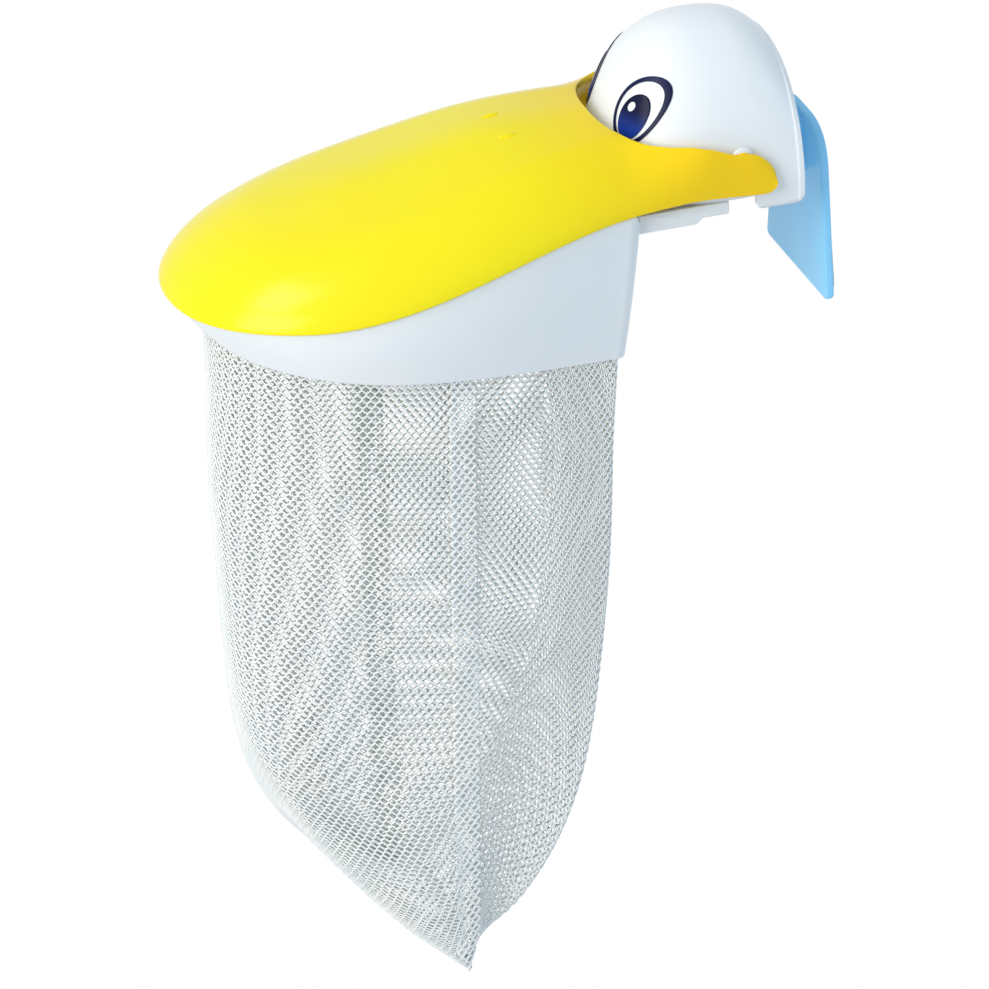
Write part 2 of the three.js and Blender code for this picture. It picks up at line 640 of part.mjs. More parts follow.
// A closed plan drawn in by a distance, along the mean normal of its two edges at each point.
function drawnIn(plan, distance) {
  const count = plan.length;
  const area = plan.reduce((sum, [x, y], i) => {
    const [nextX, nextY] = plan[(i + 1) % count];
    return sum + x * nextY - y * nextX;
  }, 0);
  const turn = area > 0 ? 1 : -1;
  return plan.map(([x, y], i) => {
    const before = new THREE.Vector2(...plan[(i + count - 1) % count]);
    const after = new THREE.Vector2(...plan[(i + 1) % count]);
    const along = after.sub(before).normalize();
    return [x - along.y * distance * turn, y + along.x * distance * turn];
  });
}

function jawFrame() {
  const insidePlans = [drawnIn(jawPlan, jaw.wall), drawnIn(jawBottomPlan, jaw.wall)];
  const ring = (share, top, bottom) =>
    jawPlan.map(([, topY], i) => {
      const out = 1 + (jaw.bulge * Math.sin(Math.PI * share)) / lid.maxHalf;
      const z = lerp(jawTopZ(topY), jawBottomZ(jawBottomPlan[i][1]), share);
      return [lerp(top[i][0], bottom[i][0], share) * out, lerp(top[i][1], bottom[i][1], share), z];
    });
  const outer = [];
  const inner = [];
  for (let i = 0; i <= steps.jawLevels; i++) {
    outer.push(ring(i / steps.jawLevels, jawPlan, jawBottomPlan));
    inner.push(ring(i / steps.jawLevels, ...insidePlans));
  }
  let made = hoopLoft([...outer, ...inner.reverse()]);
  // The deck that the head stands on, behind the rear wall, with a stepped skirt on each side.
  const plateZ = deckTopZ - deck.thick;
  const rootY = jaw.rearY - jaw.wall;
  made = made.add(box(-deckHalf, deckHalf, rootY, deck.rearY, plateZ, deckTopZ));
  const skirtTopZ = deckTopZ - overcut;
  const skirt = [
    [rootY, skirtTopZ], [rootY, deck.skirtZ], [deck.stepY - deck.stepSlope, deck.skirtZ],
    [deck.stepY, deck.stepZ], [deck.rearY, deck.stepZ], [deck.rearY, skirtTopZ],
  ];
  made = made.add(sideExtrusion(skirt, deckHalf - deck.skirtThick, deckHalf));
  made = made.add(sideExtrusion(skirt, -deckHalf, -deckHalf + deck.skirtThick));
  for (const side of [1, -1]) {
    const x = side * deckScrew.x;
    const from = [x, deckScrew.y, plateZ - overcut];
    const to = [x, deckScrew.y, deckTopZ + overcut];
    made = made.subtract(rod(from, to, deckScrew.shankR + clearance, steps.screw));
  }
  return made;
}

// Bag. Its mouth fits inside the jaw's foot; below, it hangs and closes to a seam across the bottom.
const bagPlan = drawnIn(jawBottomPlan, jaw.wall + clearance);
const bagHalfX = Math.max(...bagPlan.map(([x]) => x));

// How much of its depth the bag keeps at a share of its drop.
const bagClose = (share, power) => Math.pow(Math.max(0, 1 - Math.pow(share, power)), 1 / bag.closeRoot);

// A ring of the bag at a share of its drop, drawn in for the inner skin. Rear and front close in differently.
function bagRing(plan, share, inset) {
  const widthShare = lerp(1, bag.bottomWidthShare, share);
  const middleY = lerp(bag.topSeamY, bag.seamY, share);
  return plan.map(([x, y]) => {
    const from = y - bag.topSeamY;
    const taper = lerp(1, from > 0 ? bag.taperRear : bag.taperFront, share);
    const close = taper * bagClose(share, from > 0 ? bag.closePowerRear : bag.closePowerFront);
    const footZ = bag.bottomZ + inset * bag.bottomLift + bag.earDrop * (1 - (x / bagHalfX) ** 2);
    const reach = Math.min(1, Math.abs(from) / bagHalfX);
    const deep = from * close + Math.sign(from) * (bag.seamHalf - inset) * share * reach;
    return [x * widthShare, middleY + deep, lerp(jawBottomZ(y), footZ, share)];
  });
}

// Whether a cell of the bag's wall is one of the net's gaps. The hem is the first row, and below it rows of
// strand and gap take turns. Round the plan the rear starts with a strand and the sides with a gap, and the
// corners are closed.
function isGap(row, column) {
  const count = bagPlan.length;
  const fromRear = Math.min(column, count - 1 - column);
  const fromCorner = fromRear - steps.jawRear - steps.jawCorner;
  const gapColumn = fromRear < steps.jawRear ? fromRear % 2 === 1 : fromCorner >= 0 && fromCorner % 2 === 0;
  return gapColumn && row > 0 && row % 2 === 0;
}

// The bag as an open-topped net: an outer and an inner skin, joined at the hem and round each gap.
function netBag() {
  const innerPlan = drawnIn(bagPlan, bag.wall);
  const hem = (plan) => plan.map(([x, y]) => [x, y, jawBottomZ(y) + bag.hem]);
  const outer = [hem(bagPlan)];
  const inner = [hem(innerPlan)];
  for (let i = 0; i <= 2 * steps.gapsDown + 1; i++) {
    const rows = Math.floor(i / 2) + (i % 2) * net.strandShare;
    const share = 1 - Math.pow(1 - rows / (steps.gapsDown + net.strandShare), net.crowdingPower);
    outer.push(bagRing(bagPlan, share, 0));
    inner.push(bagRing(innerPlan, share, bag.wall));
  }
  return openWall(outer, inner, isGap);
}

// The hoop that holds the bag's hem against the inside of the jaw's foot.
function bagHoop() {
  const outside = drawnIn(bagPlan, bag.wall + clearance);
  const inside = drawnIn(outside, hoop.thick);
  const at = (plan, rise) => plan.map(([x, y]) => [x, y, jawBottomZ(y) + rise]);
  const low = hoop.above;
  const high = hoop.above + hoop.height;
  return hoopLoft([at(outside, low), at(outside, high), at(inside, high), at(inside, low)]);
}

// The doubled net along a side seam: a strip that lies on the bag's outside, from the jaw to the lower corner.
function bagSeam(side) {
  const grid = (out) => {
    const made = [];
    for (let i = 0; i <= steps.seamRows; i++) {
      const share = lerp(seam.fromShare, seam.toShare, i / steps.seamRows);
      const ring = bagRing(bagPlan, share, 0).filter(([x]) => x * side > 0);
      const middle = lerp(bag.topSeamY, bag.seamY, share);
      const close = Math.min(1, bagClose(share, bag.closePowerRear) * seam.narrowing);
      const width = seam.width * Math.max(seam.narrowest, close);
      const row = [];
      for (let j = 0; j <= steps.seamColumns; j++) {
        row.push(onRing(ring, middle + width * (j / steps.seamColumns - 1 / 2), out, side));
      }
      made.push(row);
    }
    return made;
  };
  return plate(grid(clearance + seam.thick), grid(clearance));
}

// The point of half a ring at y, moved outwards across.
function onRing(ring, y, out, side) {
  const sorted = [...ring].sort((a, b) => a[1] - b[1]);
  let i = 1;
  while (i < sorted.length - 1 && sorted[i][1] < y) i++;
  const [before, after] = [sorted[i - 1], sorted[i]];
  const along = (y - before[1]) / (after[1] - before[1]);
  return [lerp(before[0], after[0], along) + side * out, y, lerp(before[2], after[2], along)];
}

// Assembly.
const organizer = new THREE.Group();
const wallMount = new THREE.Group();
const pelican = new THREE.Group();
pelican.position.set(0, -pivotFromWall, pivotAboveMount);
organizer.add(wallMount, pelican);

wallMount.add(
  piece("wall_bracket", wallBracket(), finishes.blue),
  piece("adhesive_pad", wallPlate(bracketShape(pad.inset), 0, pad.thick, 0), finishes.foam),
);

pelican.add(
  piece("beak_lid", beakLid(), finishes.beak),
  piece("head_shell", headShell(), finishes.white),
  piece("head_back_cover", headCover(), finishes.white),
  piece("jaw_frame", jawFrame(), finishes.white),
  piece("bag_hoop", bagHoop(), finishes.white),
  piece("net_bag", netBag(), finishes.net),
);

for (const [side, word] of [[1, "left"], [-1, "right"]]) {
  pelican.add(piece("eye_iris_" + word, eyeIris(side), finishes.navy));
  pelican.add(piece("eye_outline_" + word, eyeOutline(side), finishes.navy));
  pelican.add(piece("bag_seam_" + word, bagSeam(side), finishes.net));
  const made = piece("deck_screw_" + word, screw(deckScrew), finishes.steel);
  made.position.set(side * deckScrew.x, deckScrew.y, deckTopZ - deck.thick - contactGap);
  pelican.add(made);
}

for (const { name, x, z } of coverScrewPlaces) {
  const made = piece("cover_screw_" + name, screw(coverScrew), finishes.steel);
  made.rotation.x = Math.PI / 2;
  made.position.set(x, coverBackY + clearance, z);
  pelican.add(made);
}

export default organizer;
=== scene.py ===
"""Bath toy organizer: a pelican that hangs on a wall bracket, with a hinged beak lid and a net bag.

Every piece is worked out in metres around the lid's hinge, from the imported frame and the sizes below,
and then moved to the hinge's place in the frame.
"""

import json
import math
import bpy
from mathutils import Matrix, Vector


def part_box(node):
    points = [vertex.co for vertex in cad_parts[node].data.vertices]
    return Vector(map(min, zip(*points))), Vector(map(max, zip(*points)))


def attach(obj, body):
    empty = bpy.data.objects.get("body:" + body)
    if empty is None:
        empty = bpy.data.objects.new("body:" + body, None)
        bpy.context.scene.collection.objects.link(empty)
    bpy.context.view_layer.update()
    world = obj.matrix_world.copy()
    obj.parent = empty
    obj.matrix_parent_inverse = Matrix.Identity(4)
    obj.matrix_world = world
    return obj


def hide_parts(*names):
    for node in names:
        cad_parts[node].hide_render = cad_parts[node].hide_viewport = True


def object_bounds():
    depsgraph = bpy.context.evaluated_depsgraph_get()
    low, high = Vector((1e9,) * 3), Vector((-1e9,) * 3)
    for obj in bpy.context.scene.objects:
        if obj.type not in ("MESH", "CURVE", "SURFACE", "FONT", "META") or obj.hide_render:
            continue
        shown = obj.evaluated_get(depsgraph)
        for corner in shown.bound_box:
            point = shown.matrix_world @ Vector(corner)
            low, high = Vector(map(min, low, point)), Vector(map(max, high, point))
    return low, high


bl_info = {
    "name": "Bath Toy Organizer",
    "version": (1, 0, 0),
    "blender": (4, 5, 0),
    "location": "3D View > Sidebar > Organizer",
    "description": "Builds a pelican bath toy organizer with a hinged lid and a net bag",
    "category": "Add Mesh",
}

import bpy
import numpy as np
from bpy.props import FloatProperty, FloatVectorProperty, PointerProperty
from bpy.types import Operator, Panel, PropertyGroup
from mathutils import Vector

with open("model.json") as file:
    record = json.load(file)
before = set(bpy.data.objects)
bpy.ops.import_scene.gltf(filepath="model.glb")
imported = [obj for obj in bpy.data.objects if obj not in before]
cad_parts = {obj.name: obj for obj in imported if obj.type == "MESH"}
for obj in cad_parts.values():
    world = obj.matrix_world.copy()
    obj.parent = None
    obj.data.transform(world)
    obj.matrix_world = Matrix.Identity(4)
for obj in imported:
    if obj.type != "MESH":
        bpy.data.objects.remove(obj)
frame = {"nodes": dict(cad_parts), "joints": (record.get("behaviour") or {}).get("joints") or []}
CAD_BOX = [list(corner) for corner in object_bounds()]

MM = 0.001
HINGE = next(joint for joint in frame["joints"] if joint["name"] == "lid_hinge")
PIVOT = np.array(HINGE["pos_m"])


def span(node):
    """The low and the high corner of a solid's box, seen from the hinge."""
    return [np.array(corner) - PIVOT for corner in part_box(node)]


LID_LOW, LID_HIGH = span("beak_lid")
HEAD_LOW, HEAD_HIGH = span("head_shell")
JAW_LOW = span("jaw_frame")[0]
BAG_LOW = span("net_bag")[0]
BRACKET_LOW, BRACKET_HIGH = span("wall_bracket")


def length(name, description, metres):
    """A length property in metres."""
    return FloatProperty(name=name, description=description, default=metres, unit="LENGTH", precision=4)


def factor(name, description, value):
    """A plain number between 0 and 1."""
    return FloatProperty(name=name, description=description, default=value, min=0, max=1, subtype="FACTOR")


def paint(name, description, value):
    """A linear colour."""
    return FloatVectorProperty(
        name=name, description=description, default=value, min=0, max=1, size=3, subtype="COLOR"
    )


class LidSizes(PropertyGroup):
    """The beak lid, seen from the hinge: forward is -Y."""

    tip_y: length("Tip", "Front end of the beak", float(LID_LOW[1]))
    cheek_y: length("Cheek end", "Rear end of the two arms", float(LID_HIGH[1]))
    max_half: length("Half width", "Half of the beak's widest place", float(LID_HIGH[0]))
    widest_y: length("Widest place", "Where the beak is widest", -158 * MM)
    cheek_half: length("Half width at the cheeks", "Half width over the arms", 50.5 * MM)
    rim_front: length("Front rim", "Height of the rim at the front", -39 * MM)
    rim_rear: length("Rear rim", "Height of the rim at the cheeks", -13.2 * MM)
    wall: length("Wall", "Thickness of the lid", 2.6 * MM)
    edge_round: length("Edge round", "Radius on the lid's edges", 0.9 * MM)


class HeadSizes(PropertyGroup):
    """The head dome and its eyes."""

    half_width: length("Half width", "Half of the head's width", float(HEAD_HIGH[0]))
    crown: length("Crown", "Top of the head", float(HEAD_HIGH[2]))
    rim_y: length("Rear rim", "Rear end of the head", float(HEAD_HIGH[1]))
    foot: length("Flange foot", "Lower end of the rear flange", float(HEAD_LOW[2]))
    base: length("Base", "Height of the front foot", -18 * MM)
    wall: length("Wall", "Thickness of the head", 2.4 * MM)
    eye_x: length("Eye place", "Sideways place of an eye", 22.3 * MM)
    eye_z: length("Eye height", "Height of an eye's middle", 20 * MM)


class JawSizes(PropertyGroup):
    """The lower jaw frame."""

    rear_y: length("Rear wall", "Outer face of the rear wall", -48 * MM)
    bottom_front: length("Front foot", "Height of the lower edge at the front", -63 * MM)
    bottom_rear: length("Rear foot", "Height of the lower edge at the rear", float(JAW_LOW[2]))
    wall: length("Wall", "Thickness of the frame", 2.6 * MM)
    bulge: length("Bulge", "How far the sides swell out", 2 * MM)
    edge_round: length("Edge round", "Radius on the frame's edges", 1.1 * MM)


class BagSizes(PropertyGroup):
    """The net bag."""

    bottom: length("Bottom", "Height of the bag's lower corners", float(BAG_LOW[2]))
    seam_top: length("Seam start", "Where the side seams begin at the jaw", -135 * MM)
    seam_y: length("Seam end", "Where the bottom seam runs", -128 * MM)
    pitch: length("Mesh pitch", "Distance of two holes in a row", 3.8 * MM)
    row: length("Mesh row", "Distance of two rows of holes", 2.4 * MM)
    strand: length("Strand width", "Width of a net strand", 1.1 * MM)
    strand_thick: length("Strand thickness", "Thickness of a net strand", 0.5 * MM)
    seam_width: length("Seam width", "Width of the doubled net along a side", 15 * MM)
    fold: length("Fold depth", "How deep the bag's soft folds are", 4.5 * MM)


class BracketSizes(PropertyGroup):
    """The wall bracket."""

    top_half: length("Half width at the top", "Half width of the plate's top", 26 * MM)
    bottom_half: length("Half width at the foot", "Half width of the plate's foot", float(BRACKET_HIGH[0]))
    thick: length("Thickness", "Thickness of the plate", 4 * MM)
    edge_round: length("Edge round", "Radius on the plate's edges", 1.2 * MM)


class Finishes(PropertyGroup):
    """Colours of the finishes."""

    beak: paint("Beak yellow", "Colour of the lid", (0.93, 0.765, 0.004))
    white: paint("Shell white", "Colour of head and jaw", (0.88, 0.87, 0.85))
    bracket: paint("Bracket blue", "Colour of the wall bracket", (0.31, 0.71, 1.0))
    net: paint("Net white", "Colour of the net", (0.96, 0.94, 0.89))
    iris: paint("Iris", "Colour of the eye", (0.002, 0.004, 0.03))
    foam: paint("Pad foam", "Colour of the adhesive pad", (0.72, 0.73, 0.71))
    steel: paint("Screw steel", "Colour of the screws", (0.55, 0.56, 0.58))


class StageSizes(PropertyGroup):
    """Floor, lamps and camera."""

    floor_drop: length("Floor drop", "How far the floor lies below the bag", 0.36)
    distance: length("Camera distance", "How far the camera stands away", 8.0)
    light: factor("Light level", "Share of the lamps' full power", 1.0)


GROUPS = {
    "organizer_lid": LidSizes,
    "organizer_head": HeadSizes,
    "organizer_jaw": JawSizes,
    "organizer_bag": BagSizes,
    "organizer_bracket": BracketSizes,
    "organizer_finishes": Finishes,
    "organizer_stage": StageSizes,
}

SIDES = ((1, "left"), (-1, "right"))
MIRRORED = (-1, 1, 1)

# The lid's plan and its lower edge, which rises to the arms over RIM_RISE. Columns of points lie closer
# together at the arms' ends, by ARM_CROWDING.
FRONT_POWER = 2.15
RIM_RISE = (-205 * MM, -46 * MM)
TIP_DROOP, ARM_FALL = 6 * MM, 2.5 * MM
CHEEK_TOP, CHEEK_BOTTOM = -9 * MM, -11 * MM
CHEEK_ROUND_TOP, CHEEK_ROUND_BOTTOM = 13 * MM, 6 * MM
LID_COLUMNS, ARM_CROWDING = 64, 0.12

# The lid's skin: a shoulder, a low crown, and a lift of the arms beside the eyes. SHOULDER_LOSS is the
# share of the wall by which the inner shoulder is narrower. Points lie closer together within DENSE_REACH
# of the rim.
SHOULDER, ARM_SHOULDER, SHOULDER_RISE, SHOULDER_POWER = 32 * MM, 4 * MM, 21.5 * MM, 1.6
SHOULDER_LOSS = 0.8
DENSE_REACH, DENSE_SHARE = 1.2 * SHOULDER, 0.9
CROWN, ARM_CROWN, CROWN_SOFT, ARM_FULLNESS = 12 * MM, 6.5 * MM, 0.2, 1.5
ARM_LIFT, LIFT_FROM, LIFT_PEAK, LIFT_TO = 2.8 * MM, -54 * MM, -36 * MM, -12 * MM

# The notch round the head, the hinge stubs and the nostrils. Behind NOTCH_MATCH the notch's points lie at
# the same y as the rim's. A stub starts inside the lid's wall, at STUB_ROOT of its thickness.
NOTCH_HALF, NOTCH_DEPTH, NOTCH_POWER, NOTCH_LAND = 46.8 * MM, 55 * MM, 2.3, 1.2 * MM
NOTCH_MATCH = -30 * MM
STUB_RADIUS, STUB_LENGTH, STUB_CHAMFER, STUB_ROOT = 4.3 * MM, 8 * MM, 0.6 * MM, 1 / 3
NOSTRIL_X, NOSTRIL_Y = 10.5 * MM, -95.5 * MM
NOSTRIL_ACROSS, NOSTRIL_ALONG, NOSTRIL_RISE, NOSTRIL_SINK = 1.3 * MM, 4 * MM, 0.9 * MM, 0.3 * MM

# The head, its rear flange and lip, its pivot bosses and its printed eyes. The shell's edges are rounded by
# HEAD_EDGE_SHARE of its wall, and a print lies between PRINT_FOOT and PRINT_TOP over the skin.
HEAD_MIDDLE, HEAD_FRONT, HEAD_REAR, HEAD_POWER = -5 * MM, 47 * MM, 46 * MM, 2.4
FLANGE_FRONT, FLANGE_ROUND, RIM_ROUND = 7 * MM, 3 * MM, 4 * MM
LIP_WIDTH, LIP_HEIGHT = 2.2 * MM, 0.6 * MM
HEAD_EDGE_SHARE = 0.48
BOSS_RADIUS, BOSS_CHAMFER, BOSS_Z = 4.6 * MM, 0.3 * MM, 1.9 * MM
BOSS_SINK, BOSS_RISE = 0.5 * MM, 0.6 * MM
IRIS_DROP, IRIS_HALF = 2.5 * MM, (6 * MM, 10 * MM)
OUTLINE_HALF, OUTLINE_HOLE = (9.5 * MM, 15 * MM), 0.86
PRINT_TOP, PRINT_FOOT = 0.45 * MM, 0.1 * MM

# The jaw, and the deck with its two skirts that the head stands on.
JAW_INSET, LID_GAP, JAW_CORNER, JAW_NARROW = 1.5 * MM, 0.5 * MM, 8 * MM, 0.94
JAW_FOOT_FRONT, JAW_FOOT_REAR, JAW_REAR_EDGE = -231 * MM, -54 * MM, 1 * MM
DECK_TOP, DECK_THICK, DECK_HALF, DECK_REAR = -18.4 * MM, 3 * MM, 46.2 * MM, -6 * MM
SKIRT_WIDTH, SKIRT_LOW, SKIRT_SLOPE = 3 * MM, -27 * MM, 3 * MM
SKIRT_STEP_Y, SKIRT_STEP_Z = -18 * MM, -24.2 * MM

# The bag's form, its trim and its net. BAG_MIDDLE is a place inside it, SEAM_REACH a number of points to
# each side of a seam, and SEAM_STRAND how much wider the strands of the doubled net are.
BAG_GAP, BAG_MIDDLE = 0.4 * MM, -132 * MM
BAG_POWER_REAR, BAG_POWER_FRONT, BAG_ROOT = 5.2, 6.8, 1.28
BAG_TAPER_REAR, BAG_TAPER_FRONT, BAG_NARROW = 0.83, 0.95, 0.82
BAG_ARCH, BAG_SEAM_HALF = 20 * MM, 1.6 * MM
BAG_RINGS, RING_CROWDING = 161, 1.15
HEM_LOW, HEM_HIGH, HEM_THICK, HEM_ROUND = -1.5 * MM, 9 * MM, 1.1 * MM, 0.5 * MM
BINDING_DEEP, BINDING_HIGH, BINDING_END_POWER = 2 * MM, 1.8 * MM, 30
SEAM_REACH, SEAM_STRAND = 12, 1.5
UPRIGHT_SHARE, STRAND_OVERLAP = 0.42, 0.22

# The bag's folds: waves as (height, angle from middle to edge, angle down, start), and where they fade.
FOLD_WAVES = ((1.0, 5.2, 2.6, 0.0), (0.6, 9.0, -4.0, 1.3), (0.7, 2.0, 7.0, 0.0), (0.4, 5.0, 11.0, 0.7))
FOLD_GROWN, FOLD_FADES, FOLD_EDGE_POWER = 0.3, 0.9, 6

# The bracket's plate, and the rail on it, whose neck runs into head and plate by NECK_JOINT.
PLATE_HEIGHT, PLATE_TOP_ROUND, PLATE_FOOT_ROUND = 79 * MM, 20 * MM, 4 * MM
RAIL_FOOT, RAIL_THICK, RAIL_HALF = -30 * MM, 3.8 * MM, 14 * MM
NECK_TOP, NECK_HALF, NECK_JOINT = -5 * MM, 7 * MM, 0.5 * MM

# The finishes' patterns as scales per metre, the grain's share in the gloss, and the length over which the
# beak's rear takes on a painted shade, warmer and darker towards the hinge.
TINT_SCALE, RIPPLE_SCALE, GRAIN_SCALE = 22.0, 60.0, 900.0
CLOUD_SCALE, TWIST_SCALE, CELL_SCALE, MARK_SCALE = 45.0, 1800.0, 1400.0, 2500.0
GRAIN = 0.04
REAR_SHADE_REACH = 120 * MM

# The stage: lamps as (offset from its middle, size, watts, colour), the fill light, the floor with the
# distances at which its shadow is full and gone, and the camera with the hinge's pixel in the photograph.
STAGE_MIDDLE = Vector((0, -0.18, -0.1))
LAMPS = {
    "key": ((0.9, -1.5, 0.9), 1.2, 20.5, (1.0, 0.985, 0.96)),
    "top": ((0.3, -0.95, 1.55), 0.7, 8.0, (1.0, 1.0, 1.0)),
    "rim": ((0.8, 1.4, 0.7), 0.8, 3.0, (0.2, 0.6, 1.0)),
}
WHITE = (1.0, 1.0, 1.0, 1.0)
FILL_COLOUR, FILL_LEVEL = (0.74, 0.88, 1.0, 1.0), 0.62
FLOOR_REACH, FLOOR_COLOUR = 12.0, (0.9, 0.9, 0.9, 1.0)
SHADOW_FULL, SHADOW_GONE = 0.16, 0.42
PHOTO_AZIMUTH, PHOTO_ELEVATION = math.radians(69.4), math.radians(27.5)
PHOTO_SIZE, PHOTO_SCALE, HINGE_PIXEL = 989, 2.30 / MM, (704, 117)
SENSOR_WIDTH, CLIP_END = 36, 60

# Shared by the meshes: how much of a side a rounded corner may take, and how near two points are one.
CORNER_SHARE = 0.45
WELD = 1e-7


def super_root(value, power):
    """The height of a unit superellipse over a place: (1 - value^power)^(1/power)."""
    return np.maximum(0, 1 - np.maximum(0, value) ** power) ** (1 / power)


def ease(start, end, value):
    """A smooth step from 0 at start to 1 at end: 3t^2 - 2t^3."""
    t = np.clip((value - start) / (end - start), 0, 1)
    return t * t * (3 - 2 * t)


def lerp(start, end, t):
    """The place at share t between two values."""
    return start + (end - start) * t


def unit(vectors):
    """Vectors at length 1."""
    return vectors / np.maximum(np.linalg.norm(vectors, axis=-1, keepdims=True), 1e-12)


def stack(x, y, z):
    """Three coordinate arrays as one array of points."""
    return np.stack(np.broadcast_arrays(x, y, z), axis=-1)


def quarter(count):
    """Angles over a quarter turn."""
    return np.linspace(0, np.pi / 2, count)


def full_turn(count):
    """Angles round a full turn, without its end."""
    return np.linspace(0, 2 * np.pi, count, endpoint=False)


def round_corners(loops, corners, radius, steps=4):
    """Closed loops with some corners rounded: each becomes a parabola between points a radius away."""
    pieces = []
    count = loops.shape[1]
    t = np.linspace(0, 1, steps + 1)[None, :, None]
    for k in range(count):
        here = loops[:, k]
        if k not in corners:
            pieces.append(here[:, None])
            continue
        ends = []
        for side in (loops[:, k - 1] - here, loops[:, (k + 1) % count] - here):
            reach = np.minimum(radius, CORNER_SHARE * np.linalg.norm(side, axis=-1, keepdims=True))
            ends.append((here + unit(side) * reach)[:, None])
        pieces.append((1 - t) ** 2 * ends[0] + 2 * t * (1 - t) * here[:, None] + t**2 * ends[1])
    return np.concatenate(pieces, axis=1)


def grid_faces(rows, columns, wrap_rows=False, wrap_columns=False):
    """Quads between the neighbours of a grid of points, numbered row by row."""
    i = np.arange(rows if wrap_rows else rows - 1)
    j = np.arange(columns if wrap_columns else columns - 1)
    i, j = (part.ravel() for part in np.meshgrid(i, j, indexing="ij"))
    near, far = i * columns, (i + 1) % rows * columns
    step = (j + 1) % columns
    return np.stack([near + j, near + step, far + step, far + j], axis=1)


def strip_cap(first, count):
    """Quads across a flat closed loop, each joining two neighbours to the two that face them."""
    half = count // 2
    i = np.arange(half - 1)
    return first + np.stack([i, count - 1 - i, count - 2 - i, i + 1], axis=1)


def weld(points, quads):
    """Merges points that coincide and turns collapsed quads into triangles."""
    _, keep, merged = np.unique(np.round(points / WELD), axis=0, return_index=True, return_inverse=True)
    quads = merged.ravel()[quads]
    same = quads == np.roll(quads, -1, axis=1)
    collapsed = same.sum(axis=1)
    triangles = [np.delete(quads[(collapsed == 1) & same[:, k]], k, axis=1) for k in range(4)]
    return points[keep], quads[collapsed == 0], np.concatenate(triangles)


def outward(points, quads, triangles):
    """Turns the faces of a closed surface round where its signed volume is negative."""
    faces = np.concatenate([quads[:, [0, 1, 2]], quads[:, [0, 2, 3]], triangles])
    a, b, c = (points[faces[:, k]] for k in range(3))
    if np.einsum("ij,ij->i", a, np.cross(b, c)).sum() < 0:
        return quads[:, ::-1], triangles[:, ::-1]
    return quads, triangles


def add_object(name, data):
    """A new object in the scene."""
    made = bpy.data.objects.new(name, data)
    bpy.context.scene.collection.objects.link(made)
    return made


def add_mesh(name, points, quads, closed=True, uv=None):
    """A smooth mesh from quads on points around the hinge, moved to the hinge's place in the frame."""
    triangles = np.zeros((0, 3), int)
    if uv is None:
        points, quads, triangles = weld(points, quads)
    if closed:
        quads, triangles = outward(points, quads, triangles)
    mesh = bpy.data.meshes.new(name)
    mesh.vertices.add(len(points))
    mesh.vertices.foreach_set("co", (points + PIVOT).astype(np.float32).ravel())
    corners = np.concatenate([quads.ravel(), triangles.ravel()])
    starts = np.concatenate([np.arange(len(quads)) * 4, len(quads) * 4 + np.arange(len(triangles)) * 3])
    mesh.loops.add(len(corners))
    mesh.loops.foreach_set("vertex_index", corners.astype(np.int32))
    mesh.polygons.add(len(starts))
    mesh.polygons.foreach_set("loop_start", starts.astype(np.int32))
    mesh.update(calc_edges=True)
    mesh.shade_smooth()
    if uv is not None:
        layer = mesh.uv_layers.new(name="UVMap")
        layer.uv.foreach_set("vector", uv[corners].astype(np.float32).ravel())
    if mesh.validate():
        raise RuntimeError(f"{name} has faulty faces")
    return add_object(name, mesh)


def add_grid(name, grid, wrap_rows=False, wrap_columns=False, uv=None):
    """A closed mesh over a grid of points, whose last row or column joins the first where it wraps."""
    quads = grid_faces(*grid.shape[:2], wrap_rows, wrap_columns)
    return add_mesh(name, grid.reshape(-1, 3), quads, uv=uv)


def place(made, body, slot, material, *nodes):
    """Gives a piece its material, ties it to its body and hides the solids that it stands for. The slot is
    not used.
    """
    made.data.materials.append(material)
    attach(made, body)
    if nodes:
        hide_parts(*nodes)
    return made


def pin_profile(radius, low, high, chamfer):
    """Half the section of a round pin as (radius, height), with a chamfer round its high end."""
    return [(0, low), (radius, low), (radius, high - chamfer), (radius - chamfer, high), (0, high)]


def lathe(name, profile, centre, axis, turns=48):
    """A profile of (radius, height) points carried round an axis through the centre. It starts and ends on
    that axis."""
    profile = np.array(profile)
    axis = unit(np.array(axis, float))
    slanted = [0.3, 0.9, 0.4]
    side = unit(np.cross(axis, slanted))
    other = np.cross(axis, side)
    angle = full_turn(turns)[:, None, None]
    around = np.cos(angle) * side + np.sin(angle) * other
    points = np.array(centre) + profile[None, :, :1] * around + profile[None, :, 1:] * axis
    return add_grid(name, points, wrap_rows=True)


def rectangle(y0, y1, z0, z1):
    """A side outline of (y, z) with four corners."""
    return [(y0, z0), (y0, z1), (y1, z1), (y1, z0)]


def add_slab(name, outline, x0, x1, corner_round=0.8 * MM, edge_round=0.5 * MM):
    """A side outline of (y, z) carried across from x0 to x1, with its corners rounded. Both ends are
    drawn in by a quarter circle and closed to their middle."""
    outline = np.array(outline)
    ends = np.stack([stack(x, outline[:, 0], outline[:, 1]) for x in (x0, x1)])
    ends = round_corners(ends, range(len(outline)), corner_round)
    turn = quarter(5)[:, None, None]
    rows = []
    for end, inwards in ((ends[0], 1), (ends[1], -1)):
        middle = end.mean(axis=0)
        drawn = end - unit(end - middle) * edge_round * (1 - np.sin(turn))
        drawn = drawn + np.array([inwards * edge_round, 0, 0]) * (1 - np.cos(turn))
        rows.append(np.concatenate([np.broadcast_to(middle, drawn[:1].shape), drawn])[::inwards])
    return add_grid(name, np.concatenate(rows), wrap_columns=True)


